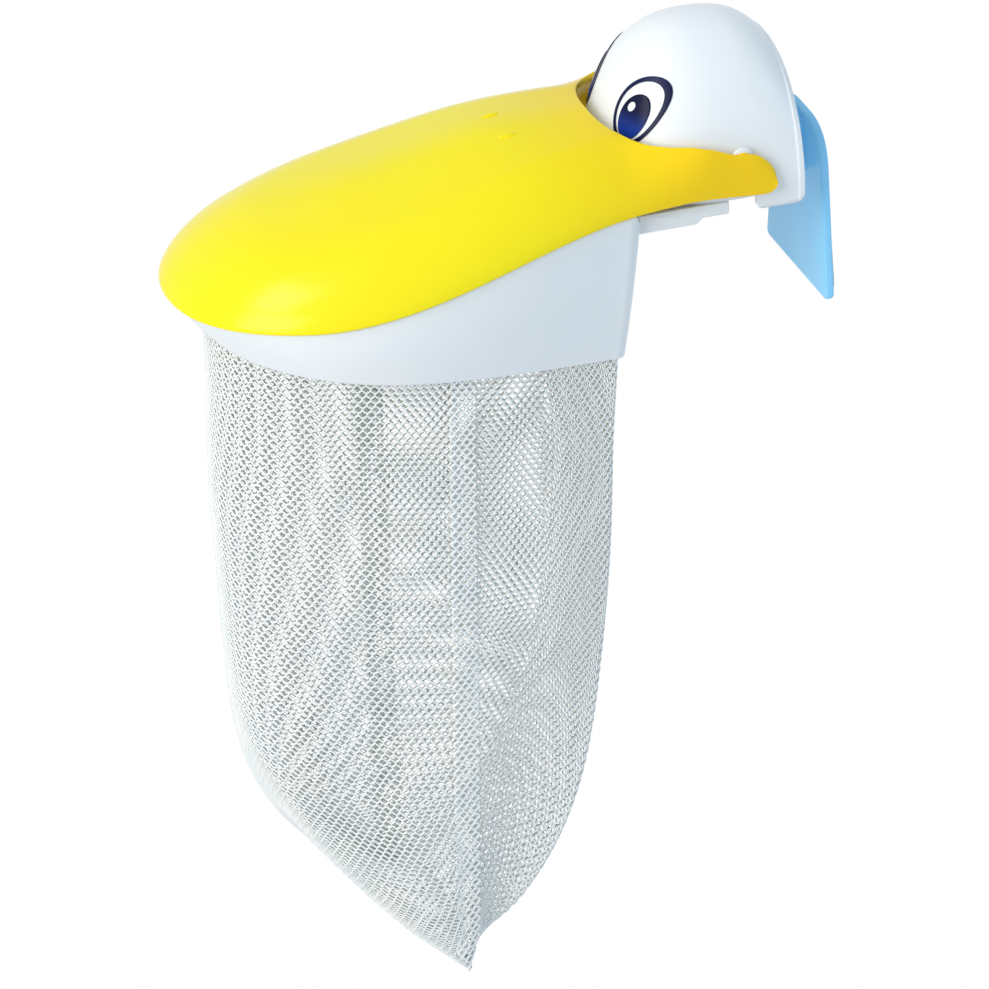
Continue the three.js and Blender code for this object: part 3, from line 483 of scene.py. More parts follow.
class Wire:
    """A socket in a node tree; operators on wires add Math nodes."""

    def __init__(self, tree, socket=None):
        self.tree = tree
        self.socket = socket

    def node(self, kind, settings=None, outlet=0, **sockets):
        """Adds a node of a kind with its settings, and sets or links its sockets by name or by in0, in1."""
        made = self.tree.nodes.new(kind)
        for key, value in (settings or {}).items():
            setattr(made, key, value)
        for key, value in sockets.items():
            by_number = key[:2] == "in" and key[2:].isdigit()
            inlet = made.inputs[int(key[2:]) if by_number else key.replace("_", " ")]
            if isinstance(value, Wire):
                self.tree.links.new(value.socket, inlet)
            else:
                inlet.default_value = value
        return Wire(self.tree, made.outputs[outlet])

    def twin(self, outlet):
        """Another outlet of the node that this wire comes from."""
        return Wire(self.tree, self.socket.node.outputs[outlet])

    def feed(self, node, inlet):
        """Links this wire to a socket of a node."""
        self.tree.links.new(self.socket, node.inputs[inlet])

    def maths(self, operation, *values):
        """A Math node on these values."""
        sockets = {f"in{k}": value for k, value in enumerate(values)}
        return self.node("ShaderNodeMath", {"operation": operation}, **sockets)

    def __add__(self, other):
        return self.maths("ADD", self, other)

    __radd__ = __add__

    def __sub__(self, other):
        return self.maths("SUBTRACT", self, other)

    def __rsub__(self, other):
        return self.maths("SUBTRACT", other, self)

    def __mul__(self, other):
        return self.maths("MULTIPLY", self, other)

    __rmul__ = __mul__

    def at_most(self, limit):
        """This value, but no more than a limit."""
        return self.maths("MINIMUM", self, limit)

    def ramp(self, start, end):
        """This value from 0 at start to 1 at end, smoothly."""
        settings = {"interpolation_type": "SMOOTHSTEP"}
        return self.node("ShaderNodeMapRange", settings, in0=self, in1=start, in2=end, in3=0.0, in4=1.0)

    def blend(self, first, second):
        """The first colour where this value is 0, and the second where it is 1."""
        first, second = (part if isinstance(part, Wire) else (*part, 1.0) for part in (first, second))
        return self.node("ShaderNodeMix", {"data_type": "RGBA"}, outlet=2, in0=self, in6=first, in7=second)

    def location(self):
        """The place on the piece, in Object coordinates."""
        return self.node("ShaderNodeTexCoord", outlet="Object")

    def noise(self, scale, detail):
        """Noise over this place."""
        return self.node("ShaderNodeTexNoise", in0=self, Scale=scale, Detail=detail)

    def bump(self, strength, distance):
        """A normal from this height."""
        return self.node("ShaderNodeBump", Strength=strength, Distance=distance, Height=self)


def start_material(name):
    """A new material as (material, its Principled shader, a wire to make nodes with)."""
    material = bpy.data.materials.new(name)
    material.use_nodes = True
    tree = material.node_tree
    return material, tree.nodes["Principled BSDF"], Wire(tree)


def set_plain(shader, **values):
    """Sets the sockets of a shader that are the same all over."""
    for key, value in values.items():
        shader.inputs[key.replace("_", " ")].default_value = value


def tinted(colour, tint):
    """A colour times a tint, channel by channel."""
    return [part * more for part, more in zip(colour, tint)]


def moulded_plastic(name, colour, deep, roughness, gloss=0.35, rear=None):
    """Moulded plastic: a slow change of tint, a fine grain in the gloss, and faint ripples from the mould.
    With a rear tint, a painted shade shifts the colour to that one from the middle of the beak back to the
    hinge."""
    material, shader, maker = start_material(name)
    where = maker.location()
    grain, ripple = where.noise(GRAIN_SCALE, 3.0), where.noise(RIPPLE_SCALE, 1.0)
    tint = where.noise(TINT_SCALE, 2.0).ramp(0.35, 0.75).blend(colour, tinted(colour, deep))
    # Painted shade: the rear tint darkens and warms the colour from the middle of the beak back to the
    # hinge.
    if rear:
        along = maker.node("ShaderNodeSeparateXYZ", outlet="Y", in0=where)
        tint = along.ramp(float(PIVOT[1] - REAR_SHADE_REACH), float(PIVOT[1])).blend(tint, tinted(colour, rear))
    tint.feed(shader, "Base Color")
    (grain * (2 * GRAIN) + (roughness - GRAIN)).feed(shader, "Roughness")
    (grain * 0.25 + ripple).bump(strength=0.06, distance=0.6 * MM).feed(shader, "Normal")
    set_plain(shader, Specular_IOR_Level=gloss, Coat_Weight=gloss / 3, Coat_Roughness=0.12)
    return material


def net_thread(name, colour):
    """Knitted thread: a soft rough white with a fine twist along the strands."""
    material, shader, maker = start_material(name)
    where = maker.location()
    shade = tinted(colour, (0.93, 0.95, 0.97))
    where.noise(CLOUD_SCALE, 2.0).ramp(0.3, 0.7).blend(colour, shade).feed(shader, "Base Color")
    where.noise(TWIST_SCALE, 2.0).bump(strength=0.15, distance=0.4 * MM).feed(shader, "Normal")
    set_plain(shader, Roughness=0.75)
    return material


def foam_tape(name, colour):
    """Closed-cell foam tape: small round cells in colour and height."""
    material, shader, maker = start_material(name)
    where = maker.location()
    cells = maker.node("ShaderNodeTexVoronoi", in0=where, Scale=CELL_SCALE)
    cells.ramp(0.0, 0.6).blend(tinted(colour, (0.8, 0.8, 0.8)), colour).feed(shader, "Base Color")
    cells.bump(strength=0.4, distance=0.3 * MM).feed(shader, "Normal")
    set_plain(shader, Roughness=0.95)
    return material


def turned_steel(name, colour):
    """Plain steel with fine turning marks in its gloss."""
    material, shader, maker = start_material(name)
    where = maker.location()
    (where.noise(MARK_SCALE, 2.0) * 0.25 + 0.22).feed(shader, "Roughness")
    set_plain(shader, Base_Color=(*colour, 1.0), Metallic=1.0)
    return material


def iris_print(name, colour):
    """Glossy print: dark at the top, blue towards its foot, with a small white catchlight. It follows the
    piece's UV map, which runs from -1 to 1 over the oval."""
    material, shader, maker = start_material(name)
    across = maker.node("ShaderNodeSeparateXYZ", in0=maker.node("ShaderNodeUVMap", {"uv_map": "UVMap"}))
    up = across.twin("Y")
    blue = (1 - up).ramp(0.55, 1.75).blend(colour, tinted(colour, (4.0, 9.0, 9.0)))
    beside, above = across + 0.3, up - 0.42
    outside = (beside * beside + above * above * 1.6).ramp(0.05, 0.075)
    outside.blend((0.9, 0.92, 0.95), blue).feed(shader, "Base Color")
    set_plain(shader, Roughness=0.25, Specular_IOR_Level=0.15)
    return material


def seen_by_camera(maker):
    """At least 1 for rays from the camera and for what it sees in gloss or glass, and 0 for other light."""
    camera = maker.node("ShaderNodeLightPath", outlet="Is Camera Ray")
    return camera + camera.twin("Is Glossy Ray") + camera.twin("Is Transmission Ray")


def floor_paint(name):
    """A pale floor that keeps shadows near the object, and is plain white to the camera further away."""
    material, shader, maker = start_material(name)
    where = maker.location()
    away = maker.node("ShaderNodeVectorMath", {"operation": "LENGTH"}, outlet="Value", in0=where)
    far = (seen_by_camera(maker) * away.ramp(SHADOW_FULL, SHADOW_GONE)).at_most(1.0)
    set_plain(shader, Base_Color=FLOOR_COLOUR, Roughness=0.9)
    white = maker.node("ShaderNodeEmission", Color=WHITE, Strength=1.0)
    both = maker.node("ShaderNodeMixShader", in0=far, in1=Wire(maker.tree, shader.outputs[0]), in2=white)
    both.feed(maker.tree.nodes["Material Output"], "Surface")
    return material


def finishes():
    """Every finish by name, made once."""
    colours = bpy.context.scene.organizer_finishes
    makers = {
        # The beak's rear tint is a painted shade, warmer and darker towards the hinge.
        "beak_plastic": lambda name: moulded_plastic(
            name, colours.beak, deep=(1.0, 0.98, 0.9), roughness=0.25, gloss=0.25, rear=(1.06, 0.8, 0.3)
        ),
        "shell_plastic": lambda name: moulded_plastic(
            name, colours.white, deep=(0.97, 0.98, 1.0), roughness=0.3
        ),
        "bracket_plastic": lambda name: moulded_plastic(
            name, colours.bracket, deep=(0.94, 0.97, 1.0), roughness=0.34, gloss=0.2
        ),
        "net_thread": lambda name: net_thread(name, colours.net),
        "tape_foam": lambda name: foam_tape(name, colours.foam),
        "turned_steel": lambda name: turned_steel(name, colours.steel),
        "iris_print": lambda name: iris_print(name, colours.iris),
        "outline_print": lambda name: moulded_plastic(
            name, colours.iris, deep=(1.5, 2.0, 2.2), roughness=0.3, gloss=0.15
        ),
    }
    return {name: bpy.data.materials.get(name) or make(name) for name, make in makers.items()}


def lid_half(s, y, inset=0.0):
    """Half the lid's width at y: a superellipse round the front, then an eased taper to the cheeks."""
    ahead = (s.widest_y - y) / (s.widest_y - s.tip_y - inset)
    front = (s.max_half - inset) * super_root(ahead, FRONT_POWER)
    rear = lerp(s.max_half, s.cheek_half, ease(s.widest_y, 0, y)) - inset
    return np.where(y < s.widest_y, front, rear)


def end_share(s, y, radius):
    """How much of its height an arm keeps near its rounded end: a quarter circle."""
    return super_root((y - s.cheek_y + radius) / radius, 2)


def lid_rim(s, y):
    """The height of the lid's lower edge: level in front, rising to the arms by a smooth step, lower by a
    square towards the tip, and lower again towards the arms' ends."""
    ahead = np.maximum(0, (s.widest_y - y) / (s.widest_y - s.tip_y))
    level = lerp(s.rim_front, s.rim_rear, ease(*RIM_RISE, y)) - TIP_DROOP * ahead**2
    level = level - ARM_FALL * ease(NOTCH_MATCH, s.cheek_y, y)
    return lerp(CHEEK_BOTTOM, level, end_share(s, y, CHEEK_ROUND_BOTTOM))


def lid_skin(s, x, y, inset):
    """The lid's height over its plan: a superelliptic shoulder from the rim, then a low crown to the
    middle, with the arms lifted a little beside the eyes."""
    ahead = np.maximum(0, (s.widest_y - y) / (s.widest_y - s.tip_y - inset))
    across = np.abs(x) / np.where(y < s.widest_y, s.max_half - inset, lid_half(s, y, inset))
    out = np.minimum(1, (across**FRONT_POWER + ahead**FRONT_POWER) ** (1 / FRONT_POWER))
    half = np.where(y < s.widest_y, s.max_half, lid_half(s, y))
    width = lerp(SHOULDER, ARM_SHOULDER, ease(-NOTCH_DEPTH, NOTCH_MATCH / 2, y)) - inset * SHOULDER_LOSS
    round_up = super_root(1 - np.minimum(1, (1 - out) * half / width), SHOULDER_POWER)
    slope = 1 - (np.hypot(out, CROWN_SOFT) - CROWN_SOFT) / (math.hypot(1, CROWN_SOFT) - CROWN_SOFT)
    beside = ease(-2 * NOTCH_DEPTH, -NOTCH_DEPTH, y)
    crown = lerp(CROWN * slope, ARM_CROWN * (1 - out**ARM_FULLNESS), beside)
    lift = ARM_LIFT * out**2 * ease(LIFT_FROM, LIFT_PEAK, y) * (1 - ease(LIFT_PEAK, LIFT_TO, y))
    top = (SHOULDER_RISE + lift) * round_up + crown - inset * round_up
    end = (CHEEK_TOP - CHEEK_BOTTOM) * round_up
    return lid_rim(s, y) + lerp(end, top, end_share(s, y, CHEEK_ROUND_TOP))


def lid_plan(s, count):
    """Places along half the rim as (y on the rim, y on the notch): close together at the arm's end, even
    along the taper, by angle round the front. The notch is level with the rim on the arm, and fanned
    by angle in front of it."""
    along = np.linspace(0, 1, count)
    taper = lerp(s.cheek_y, s.widest_y, along * lerp(ARM_CROWDING, 1, along))
    front = lerp(s.widest_y, s.tip_y, np.sin(quarter(count)[1:]) ** (2 / FRONT_POWER))
    y = np.concatenate([taper, front])
    part = np.linspace(0, 1, len(y))
    start = part[np.argmax(y < NOTCH_MATCH)]
    first = np.arcsin((-NOTCH_MATCH / NOTCH_DEPTH) ** (NOTCH_POWER / 2))
    fan = lerp(first, np.pi / 2, np.clip((part - start) / (1 - start), 0, 1))
    return y, np.where(y >= NOTCH_MATCH, y, -NOTCH_DEPTH * np.sin(fan) ** (2 / NOTCH_POWER))


def lid_ribs(s, y, edge_y, inset, steps=(14, 18)):
    """Lines over the lid from its rim to the notch, on the outer skin or on one drawn in, close together
    on the shoulder by a cosine and then even."""
    shrink = (s.widest_y - s.tip_y - inset) / (s.widest_y - s.tip_y)
    rim_y = np.where(y < s.widest_y, s.widest_y + (y - s.widest_y) * shrink, y)
    land = 0 if inset else NOTCH_LAND
    edge_x = NOTCH_HALF * super_root(np.maximum(0, -edge_y) / NOTCH_DEPTH, NOTCH_POWER) + land
    rim_x = lid_half(s, rim_y, inset)
    rim_x[-1] = edge_x[-1] = 0
    rim, edge = (np.stack(pair, axis=-1)[:, None] for pair in ((rim_x, rim_y), (edge_x, edge_y)))
    reach = np.linalg.norm(edge - rim, axis=-1)
    dense = np.minimum(DENSE_REACH, DENSE_SHARE * reach) / reach
    near = dense * (1 - np.cos(quarter(steps[0] + 1)))
    far = lerp(dense, 1, np.linspace(0, 1, steps[1] + 1)[1:])
    plan = lerp(rim, edge, np.concatenate([near, far], axis=1)[..., None])
    z = lid_skin(s, plan[..., 0], plan[..., 1], inset)
    z[:, 0] = lid_rim(s, y)
    return stack(plan[..., 0], plan[..., 1], z)


def plate_loops(outer, inner, radius):
    """Loops across a thin wall: along the outer skin and back along the inner one, with rounded edges."""
    count = outer.shape[1]
    loops = np.concatenate([outer, inner[:, ::-1]], axis=1)
    return round_corners(loops, (0, count - 1, count, 2 * count - 1), radius)


def add_plate(name, loops):
    """A closed thin wall from its loops, capped across the first and the last one."""
    rows, columns = loops.shape[:2]
    quads = np.concatenate([
        grid_faces(rows, columns, wrap_columns=True),
        strip_cap(0, columns),
        strip_cap((rows - 1) * columns, columns)[:, ::-1],
    ])
    return add_mesh(name, loops.reshape(-1, 3), quads)


class ORGANIZER_OT_lid(Operator):
    """Adds the beak lid with its hinge stubs and nostrils"""

    bl_idname = "organizer.add_lid"
    bl_label = "Add Beak Lid"

    def execute(self, context):
        s = context.scene.organizer_lid
        yellow = finishes()["beak_plastic"]
        plan = lid_plan(s, LID_COLUMNS)
        loops = plate_loops(*(lid_ribs(s, *plan, inset) for inset in (0.0, s.wall)), s.edge_round)
        made = add_plate("lid_shell", np.concatenate([loops, loops[-2::-1] * MIRRORED]))
        place(made, "lid", "beak_yellow", yellow, "beak_lid")
        root = NOTCH_HALF + s.wall * STUB_ROOT
        profile = pin_profile(STUB_RADIUS, 0, STUB_LENGTH, STUB_CHAMFER)
        for side, word in SIDES:
            stub = lathe(f"hinge_stub_{word}", profile, (side * root, 0, 0), (-side, 0, 0))
            place(stub, "lid", "beak_yellow", yellow)
            place(self.nostril(s, side, word), "lid", "beak_yellow", yellow)
        return {"FINISHED"}

    def nostril(self, s, side, word):
        """Half an ellipsoid on the skin, over a polar grid, with its underside just below the skin."""
        turn = full_turn(28)[:, None]
        tilt = np.linspace(0, np.pi, 15)[None]
        x = NOSTRIL_X + NOSTRIL_ACROSS * np.sin(tilt) * np.cos(turn)
        y = NOSTRIL_Y + NOSTRIL_ALONG * np.sin(tilt) * np.sin(turn)
        rise = np.cos(tilt) * np.where(np.cos(tilt) > 0, NOSTRIL_RISE, NOSTRIL_SINK)
        points = stack(side * x, y, lid_skin(s, x, y, 0.0) + rise)
        return add_grid(f"nostril_{word}", points, wrap_rows=True)


def head_arches(s, y, foot, inset, across=72):
    """Arches over the head, one for each y: half an ellipse on the base, scaled by a superellipse along y,
    with straight sides down to the foot at both ends. A smooth step leads to a low lip at the rear rim."""
    reach = np.where(y < HEAD_MIDDLE, HEAD_FRONT, HEAD_REAR) - inset
    part = super_root(np.abs(y - HEAD_MIDDLE) / reach, HEAD_POWER)
    half = (s.half_width - inset) * np.where(y < HEAD_MIDDLE, part, 1)
    height = (s.crown - s.base - inset) * part
    lip = LIP_HEIGHT * ease(s.rim_y - LIP_WIDTH - LIP_HEIGHT, s.rim_y - LIP_WIDTH, y) * (inset == 0)
    half, height = half + lip, height + lip
    angle = np.linspace(0, np.pi, across)[:, None]
    arch = stack(half * np.cos(angle), y, s.base + height * np.sin(angle))
    drop = np.linspace(0, 1, 4)[:-1, None]
    left = stack(half + 0 * drop, y, lerp(foot, s.base, drop))
    return np.concatenate([left, arch, left[::-1] * MIRRORED])


def head_skin(s, x, z, out):
    """Points of the head's front skin at x and z, moved out along the skin's normal."""
    def depth(px, pz):
        part = np.hypot(px / s.half_width, (pz - s.base) / (s.crown - s.base))
        return HEAD_MIDDLE - HEAD_FRONT * super_root(part, HEAD_POWER)

    tiny = 0.05 * MM
    slope_x = (depth(x + tiny, z) - depth(x - tiny, z)) / (2 * tiny)
    slope_z = (depth(x, z + tiny) - depth(x, z - tiny)) / (2 * tiny)
    normal = unit(stack(slope_x, -1.0, slope_z))
    return stack(x, depth(x, z), z) + normal * np.asarray(out)[..., None]


class ORGANIZER_OT_head(Operator):
    """Adds the head dome with its rear lip and its pivot bosses"""

    bl_idname = "organizer.add_head"
    bl_label = "Add Head"

    def execute(self, context):
        s = context.scene.organizer_head
        white = finishes()["shell_plastic"]
        loops = plate_loops(*(self.skin(s, inset) for inset in (0.0, s.wall)), s.wall * HEAD_EDGE_SHARE)
        place(add_plate("head_dome", loops), "pelican", "head_white", white, "head_shell")
        profile = pin_profile(BOSS_RADIUS, -BOSS_SINK, BOSS_RISE, BOSS_CHAMFER)
        for side, word in SIDES:
            boss = lathe(f"pivot_boss_{word}", profile, (side * s.half_width, 0, BOSS_Z), (side, 0, 0))
            place(boss, "pelican", "head_white", white)
        return {"FINISHED"}

    def skin(self, s, inset):
        """The head's skin from nose to rear rim: close together at the nose by a cosine, with quarter
        circles for the flange's step and for the rim's corner."""
        nose = HEAD_MIDDLE - (HEAD_FRONT - inset)
        front = lerp(nose, HEAD_MIDDLE, 1 - np.cos(quarter(44)))
        step = FLANGE_ROUND * (1 - np.cos(quarter(7)))
        rise = FLANGE_ROUND * (1 - np.sin(quarter(7)))
        rear = np.linspace(FLANGE_FRONT + FLANGE_ROUND, s.rim_y - RIM_ROUND, 10)[1:]
        corner = quarter(15)[1:]
        rim = s.rim_y - RIM_ROUND * (1 - np.sin(corner))
        y = np.concatenate([front, [0.0, FLANGE_FRONT], FLANGE_FRONT + step, rear, rim])
        foot = [np.full(len(front) + 2, s.base), s.foot + rise, np.full(len(rear), s.foot)]
        foot = np.concatenate([*foot, s.foot + RIM_ROUND * (1 - np.cos(corner))])
        return head_arches(s, y, foot, inset)


class ORGANIZER_OT_eyes(Operator):
    """Adds an oval iris and an outline on each side of the head"""

    bl_idname = "organizer.add_eyes"
    bl_label = "Add Eyes"

    def execute(self, context):
        s = context.scene.organizer_head
        made = finishes()
        for side, word in SIDES:
            iris = self.oval(s, f"iris_{word}", side, s.eye_z - IRIS_DROP, IRIS_HALF)
            place(iris, "pelican", "eye_print", made["iris_print"], f"eye_iris_{word}")
            outline = self.oval(s, f"eye_line_{word}", side, s.eye_z, OUTLINE_HALF, OUTLINE_HOLE)
            place(outline, "pelican", "eye_print", made["outline_print"], f"eye_outline_{word}")
        return {"FINISHED"}

    def oval(self, s, name, side, z, half, hole=0.0):
        """A thin raised oval or oval band on the skin: a polar grid on top, and the same grid back close
        to the skin."""
        turn = full_turn(72)[:, None]
        ring = np.linspace(1, hole, 6 if hole else 14)
        out = np.concatenate([[PRINT_FOOT], np.full(len(ring), PRINT_TOP), np.full(len(ring), PRINT_FOOT)])
        ring = np.concatenate([[1.0], ring, ring[::-1]])
        x, up = ring * np.cos(turn), ring * np.sin(turn)
        points = head_skin(s, s.eye_x + half[0] * x, z + half[1] * up, np.broadcast_to(out, x.shape))
        uv = np.stack([x * side, up], axis=-1).reshape(-1, 2)
        points = points * [side, 1, 1]
        return add_grid(name, points, wrap_rows=True, wrap_columns=bool(hole), uv=None if hole else uv)


def jaw_plan(lid, jaw, count=60):
    """The jaw's upper edge in plan as a closed loop: a straight rear wall, round corners, and the lid's
    rim drawn in."""
    corner_y = jaw.rear_y - JAW_CORNER
    flat = float(lid_half(lid, np.array(corner_y), JAW_INSET)) - JAW_CORNER
    rear_x = np.linspace(0, flat, 16, endpoint=False)
    turn = quarter(10)
    side_y = np.linspace(corner_y, lid.widest_y, count)[1:]
    front_y = lerp(lid.widest_y, lid.tip_y + JAW_INSET, np.sin(quarter(count)[1:]) ** (2 / FRONT_POWER))
    rim_y = np.concatenate([side_y, front_y])
    rim_x = lid_half(lid, rim_y, JAW_INSET)
    rim_x[-1] = 0
    x = np.concatenate([rear_x, flat + JAW_CORNER * np.sin(turn), rim_x])
    rear_y = np.full_like(rear_x, jaw.rear_y)
    y = np.concatenate([rear_y, jaw.rear_y - JAW_CORNER * (1 - np.cos(turn)), rim_y])
    half = np.stack([x, y], axis=1)
    return np.concatenate([half, half[-2:0:-1] * MIRRORED[:2]])


def jaw_foot_plan(lid, jaw):
    """The jaw's lower edge in plan: the upper one made narrower and shorter."""
    plan = jaw_plan(lid, jaw)
    part = (plan[:, 1] - plan[:, 1].min()) / (jaw.rear_y - plan[:, 1].min())
    return np.stack([plan[:, 0] * JAW_NARROW, lerp(JAW_FOOT_FRONT, JAW_FOOT_REAR, part)], axis=1)


def jaw_foot(jaw, y):
    """The height of the jaw's lower edge, which falls in a line towards the rear."""
    return lerp(jaw.bottom_front, jaw.bottom_rear, (y - JAW_FOOT_FRONT) / (JAW_FOOT_REAR - JAW_FOOT_FRONT))


def drawn_in(plan, distance):
    """A closed plan moved inwards along the mean normal at each point."""
    along = unit(np.roll(plan, -1, axis=0) - np.roll(plan, 1, axis=0))
    area = np.sum(plan[:, 0] * np.roll(plan[:, 1], -1) - plan[:, 1] * np.roll(plan[:, 0], -1))
    turn = distance * np.sign(area)
    return plan + np.stack([-along[:, 1], along[:, 0]], axis=1) * turn


class ORGANIZER_OT_jaw(Operator):
    """Adds the lower jaw frame with the deck under the head"""

    bl_idname = "organizer.add_jaw"
    bl_label = "Add Jaw"

    def execute(self, context):
        lid, jaw = context.scene.organizer_lid, context.scene.organizer_jaw
        white = finishes()["shell_plastic"]
        outer, inner = (self.wall(lid, jaw, inset) for inset in (0.0, jaw.wall))
        loops = plate_loops(outer, inner, jaw.edge_round)
        made = add_grid("jaw_ring", loops, wrap_rows=True, wrap_columns=True)
        place(made, "pelican", "jaw_white", white, "jaw_frame")
        root = jaw.rear_y - jaw.wall / 2
        outline = rectangle(root, DECK_REAR, DECK_TOP, DECK_TOP - DECK_THICK)
        reach = DECK_HALF - SKIRT_WIDTH / 2
        place(add_slab("deck_plate", outline, -reach, reach), "pelican", "jaw_white", white)
        outline = [
            (root, DECK_TOP),
            (root, SKIRT_LOW),
            (SKIRT_STEP_Y - SKIRT_SLOPE, SKIRT_LOW),
            (SKIRT_STEP_Y, SKIRT_STEP_Z),
            (DECK_REAR, SKIRT_STEP_Z),
            (DECK_REAR, DECK_TOP),
        ]
        for side, word in SIDES:
            ends = sorted((side * DECK_HALF, side * (DECK_HALF - SKIRT_WIDTH)))
            place(add_slab(f"deck_skirt_{word}", outline, *ends), "pelican", "jaw_white", white)
        return {"FINISHED"}

    def wall(self, lid, jaw, inset, levels=18):
        """A skin of the jaw from its upper to its lower edge, swelling out by half a sine between them.
        The upper edge follows the lid's rim, and falls to the deck by a smooth step at the rear wall."""
        plan, foot = jaw_plan(lid, jaw), jaw_foot_plan(lid, jaw)
        top, bottom = drawn_in(plan, inset), drawn_in(foot, inset)
        down = np.linspace(0, 1, levels)[None]
        swell = 1 + jaw.bulge * np.sin(np.pi * down) / lid.max_half
        rear_edge = DECK_TOP * ease(jaw.rear_y - JAW_CORNER, jaw.rear_y - JAW_REAR_EDGE, plan[:, 1])
        top_z = np.minimum(lid_rim(lid, plan[:, 1]) - LID_GAP, rear_edge)
        x, y = (lerp(top[:, k : k + 1], bottom[:, k : k + 1], down) for k in (0, 1))
        return stack(x * swell, y, lerp(top_z[:, None], jaw_foot(jaw, foot[:, 1])[:, None], down))


def bag_rings(lid, jaw, bag, shares):
    """Rings of the bag from the jaw's foot down to the bottom seam: front and rear taper in a line and
    close in towards the seam by the root of 1 - share^power, the width narrows in a line, and the foot
    arches between its corners by a parabola."""
    plan = drawn_in(jaw_foot_plan(lid, jaw), jaw.wall + BAG_GAP)
    x, y = plan[None, :, 0], plan[None, :, 1]
    share = np.asarray(shares)[:, None]
    half = np.abs(x).max()
    away = y - bag.seam_top
    power = np.where(away > 0, BAG_POWER_REAR, BAG_POWER_FRONT)
    taper = lerp(1, np.where(away > 0, BAG_TAPER_REAR, BAG_TAPER_FRONT), share)
    close = taper * np.maximum(0, 1 - share**power) ** (1 / BAG_ROOT)
    foot = bag.bottom + BAG_ARCH * (1 - (x / half) ** 2)
    spread = np.sign(away) * BAG_SEAM_HALF * share * np.minimum(1, np.abs(away) / half)
    deep = lerp(bag.seam_top, bag.seam_y, share) + away * close + spread
    return stack(x * lerp(1, BAG_NARROW, share), deep, lerp(jaw_foot(jaw, y), foot, share))


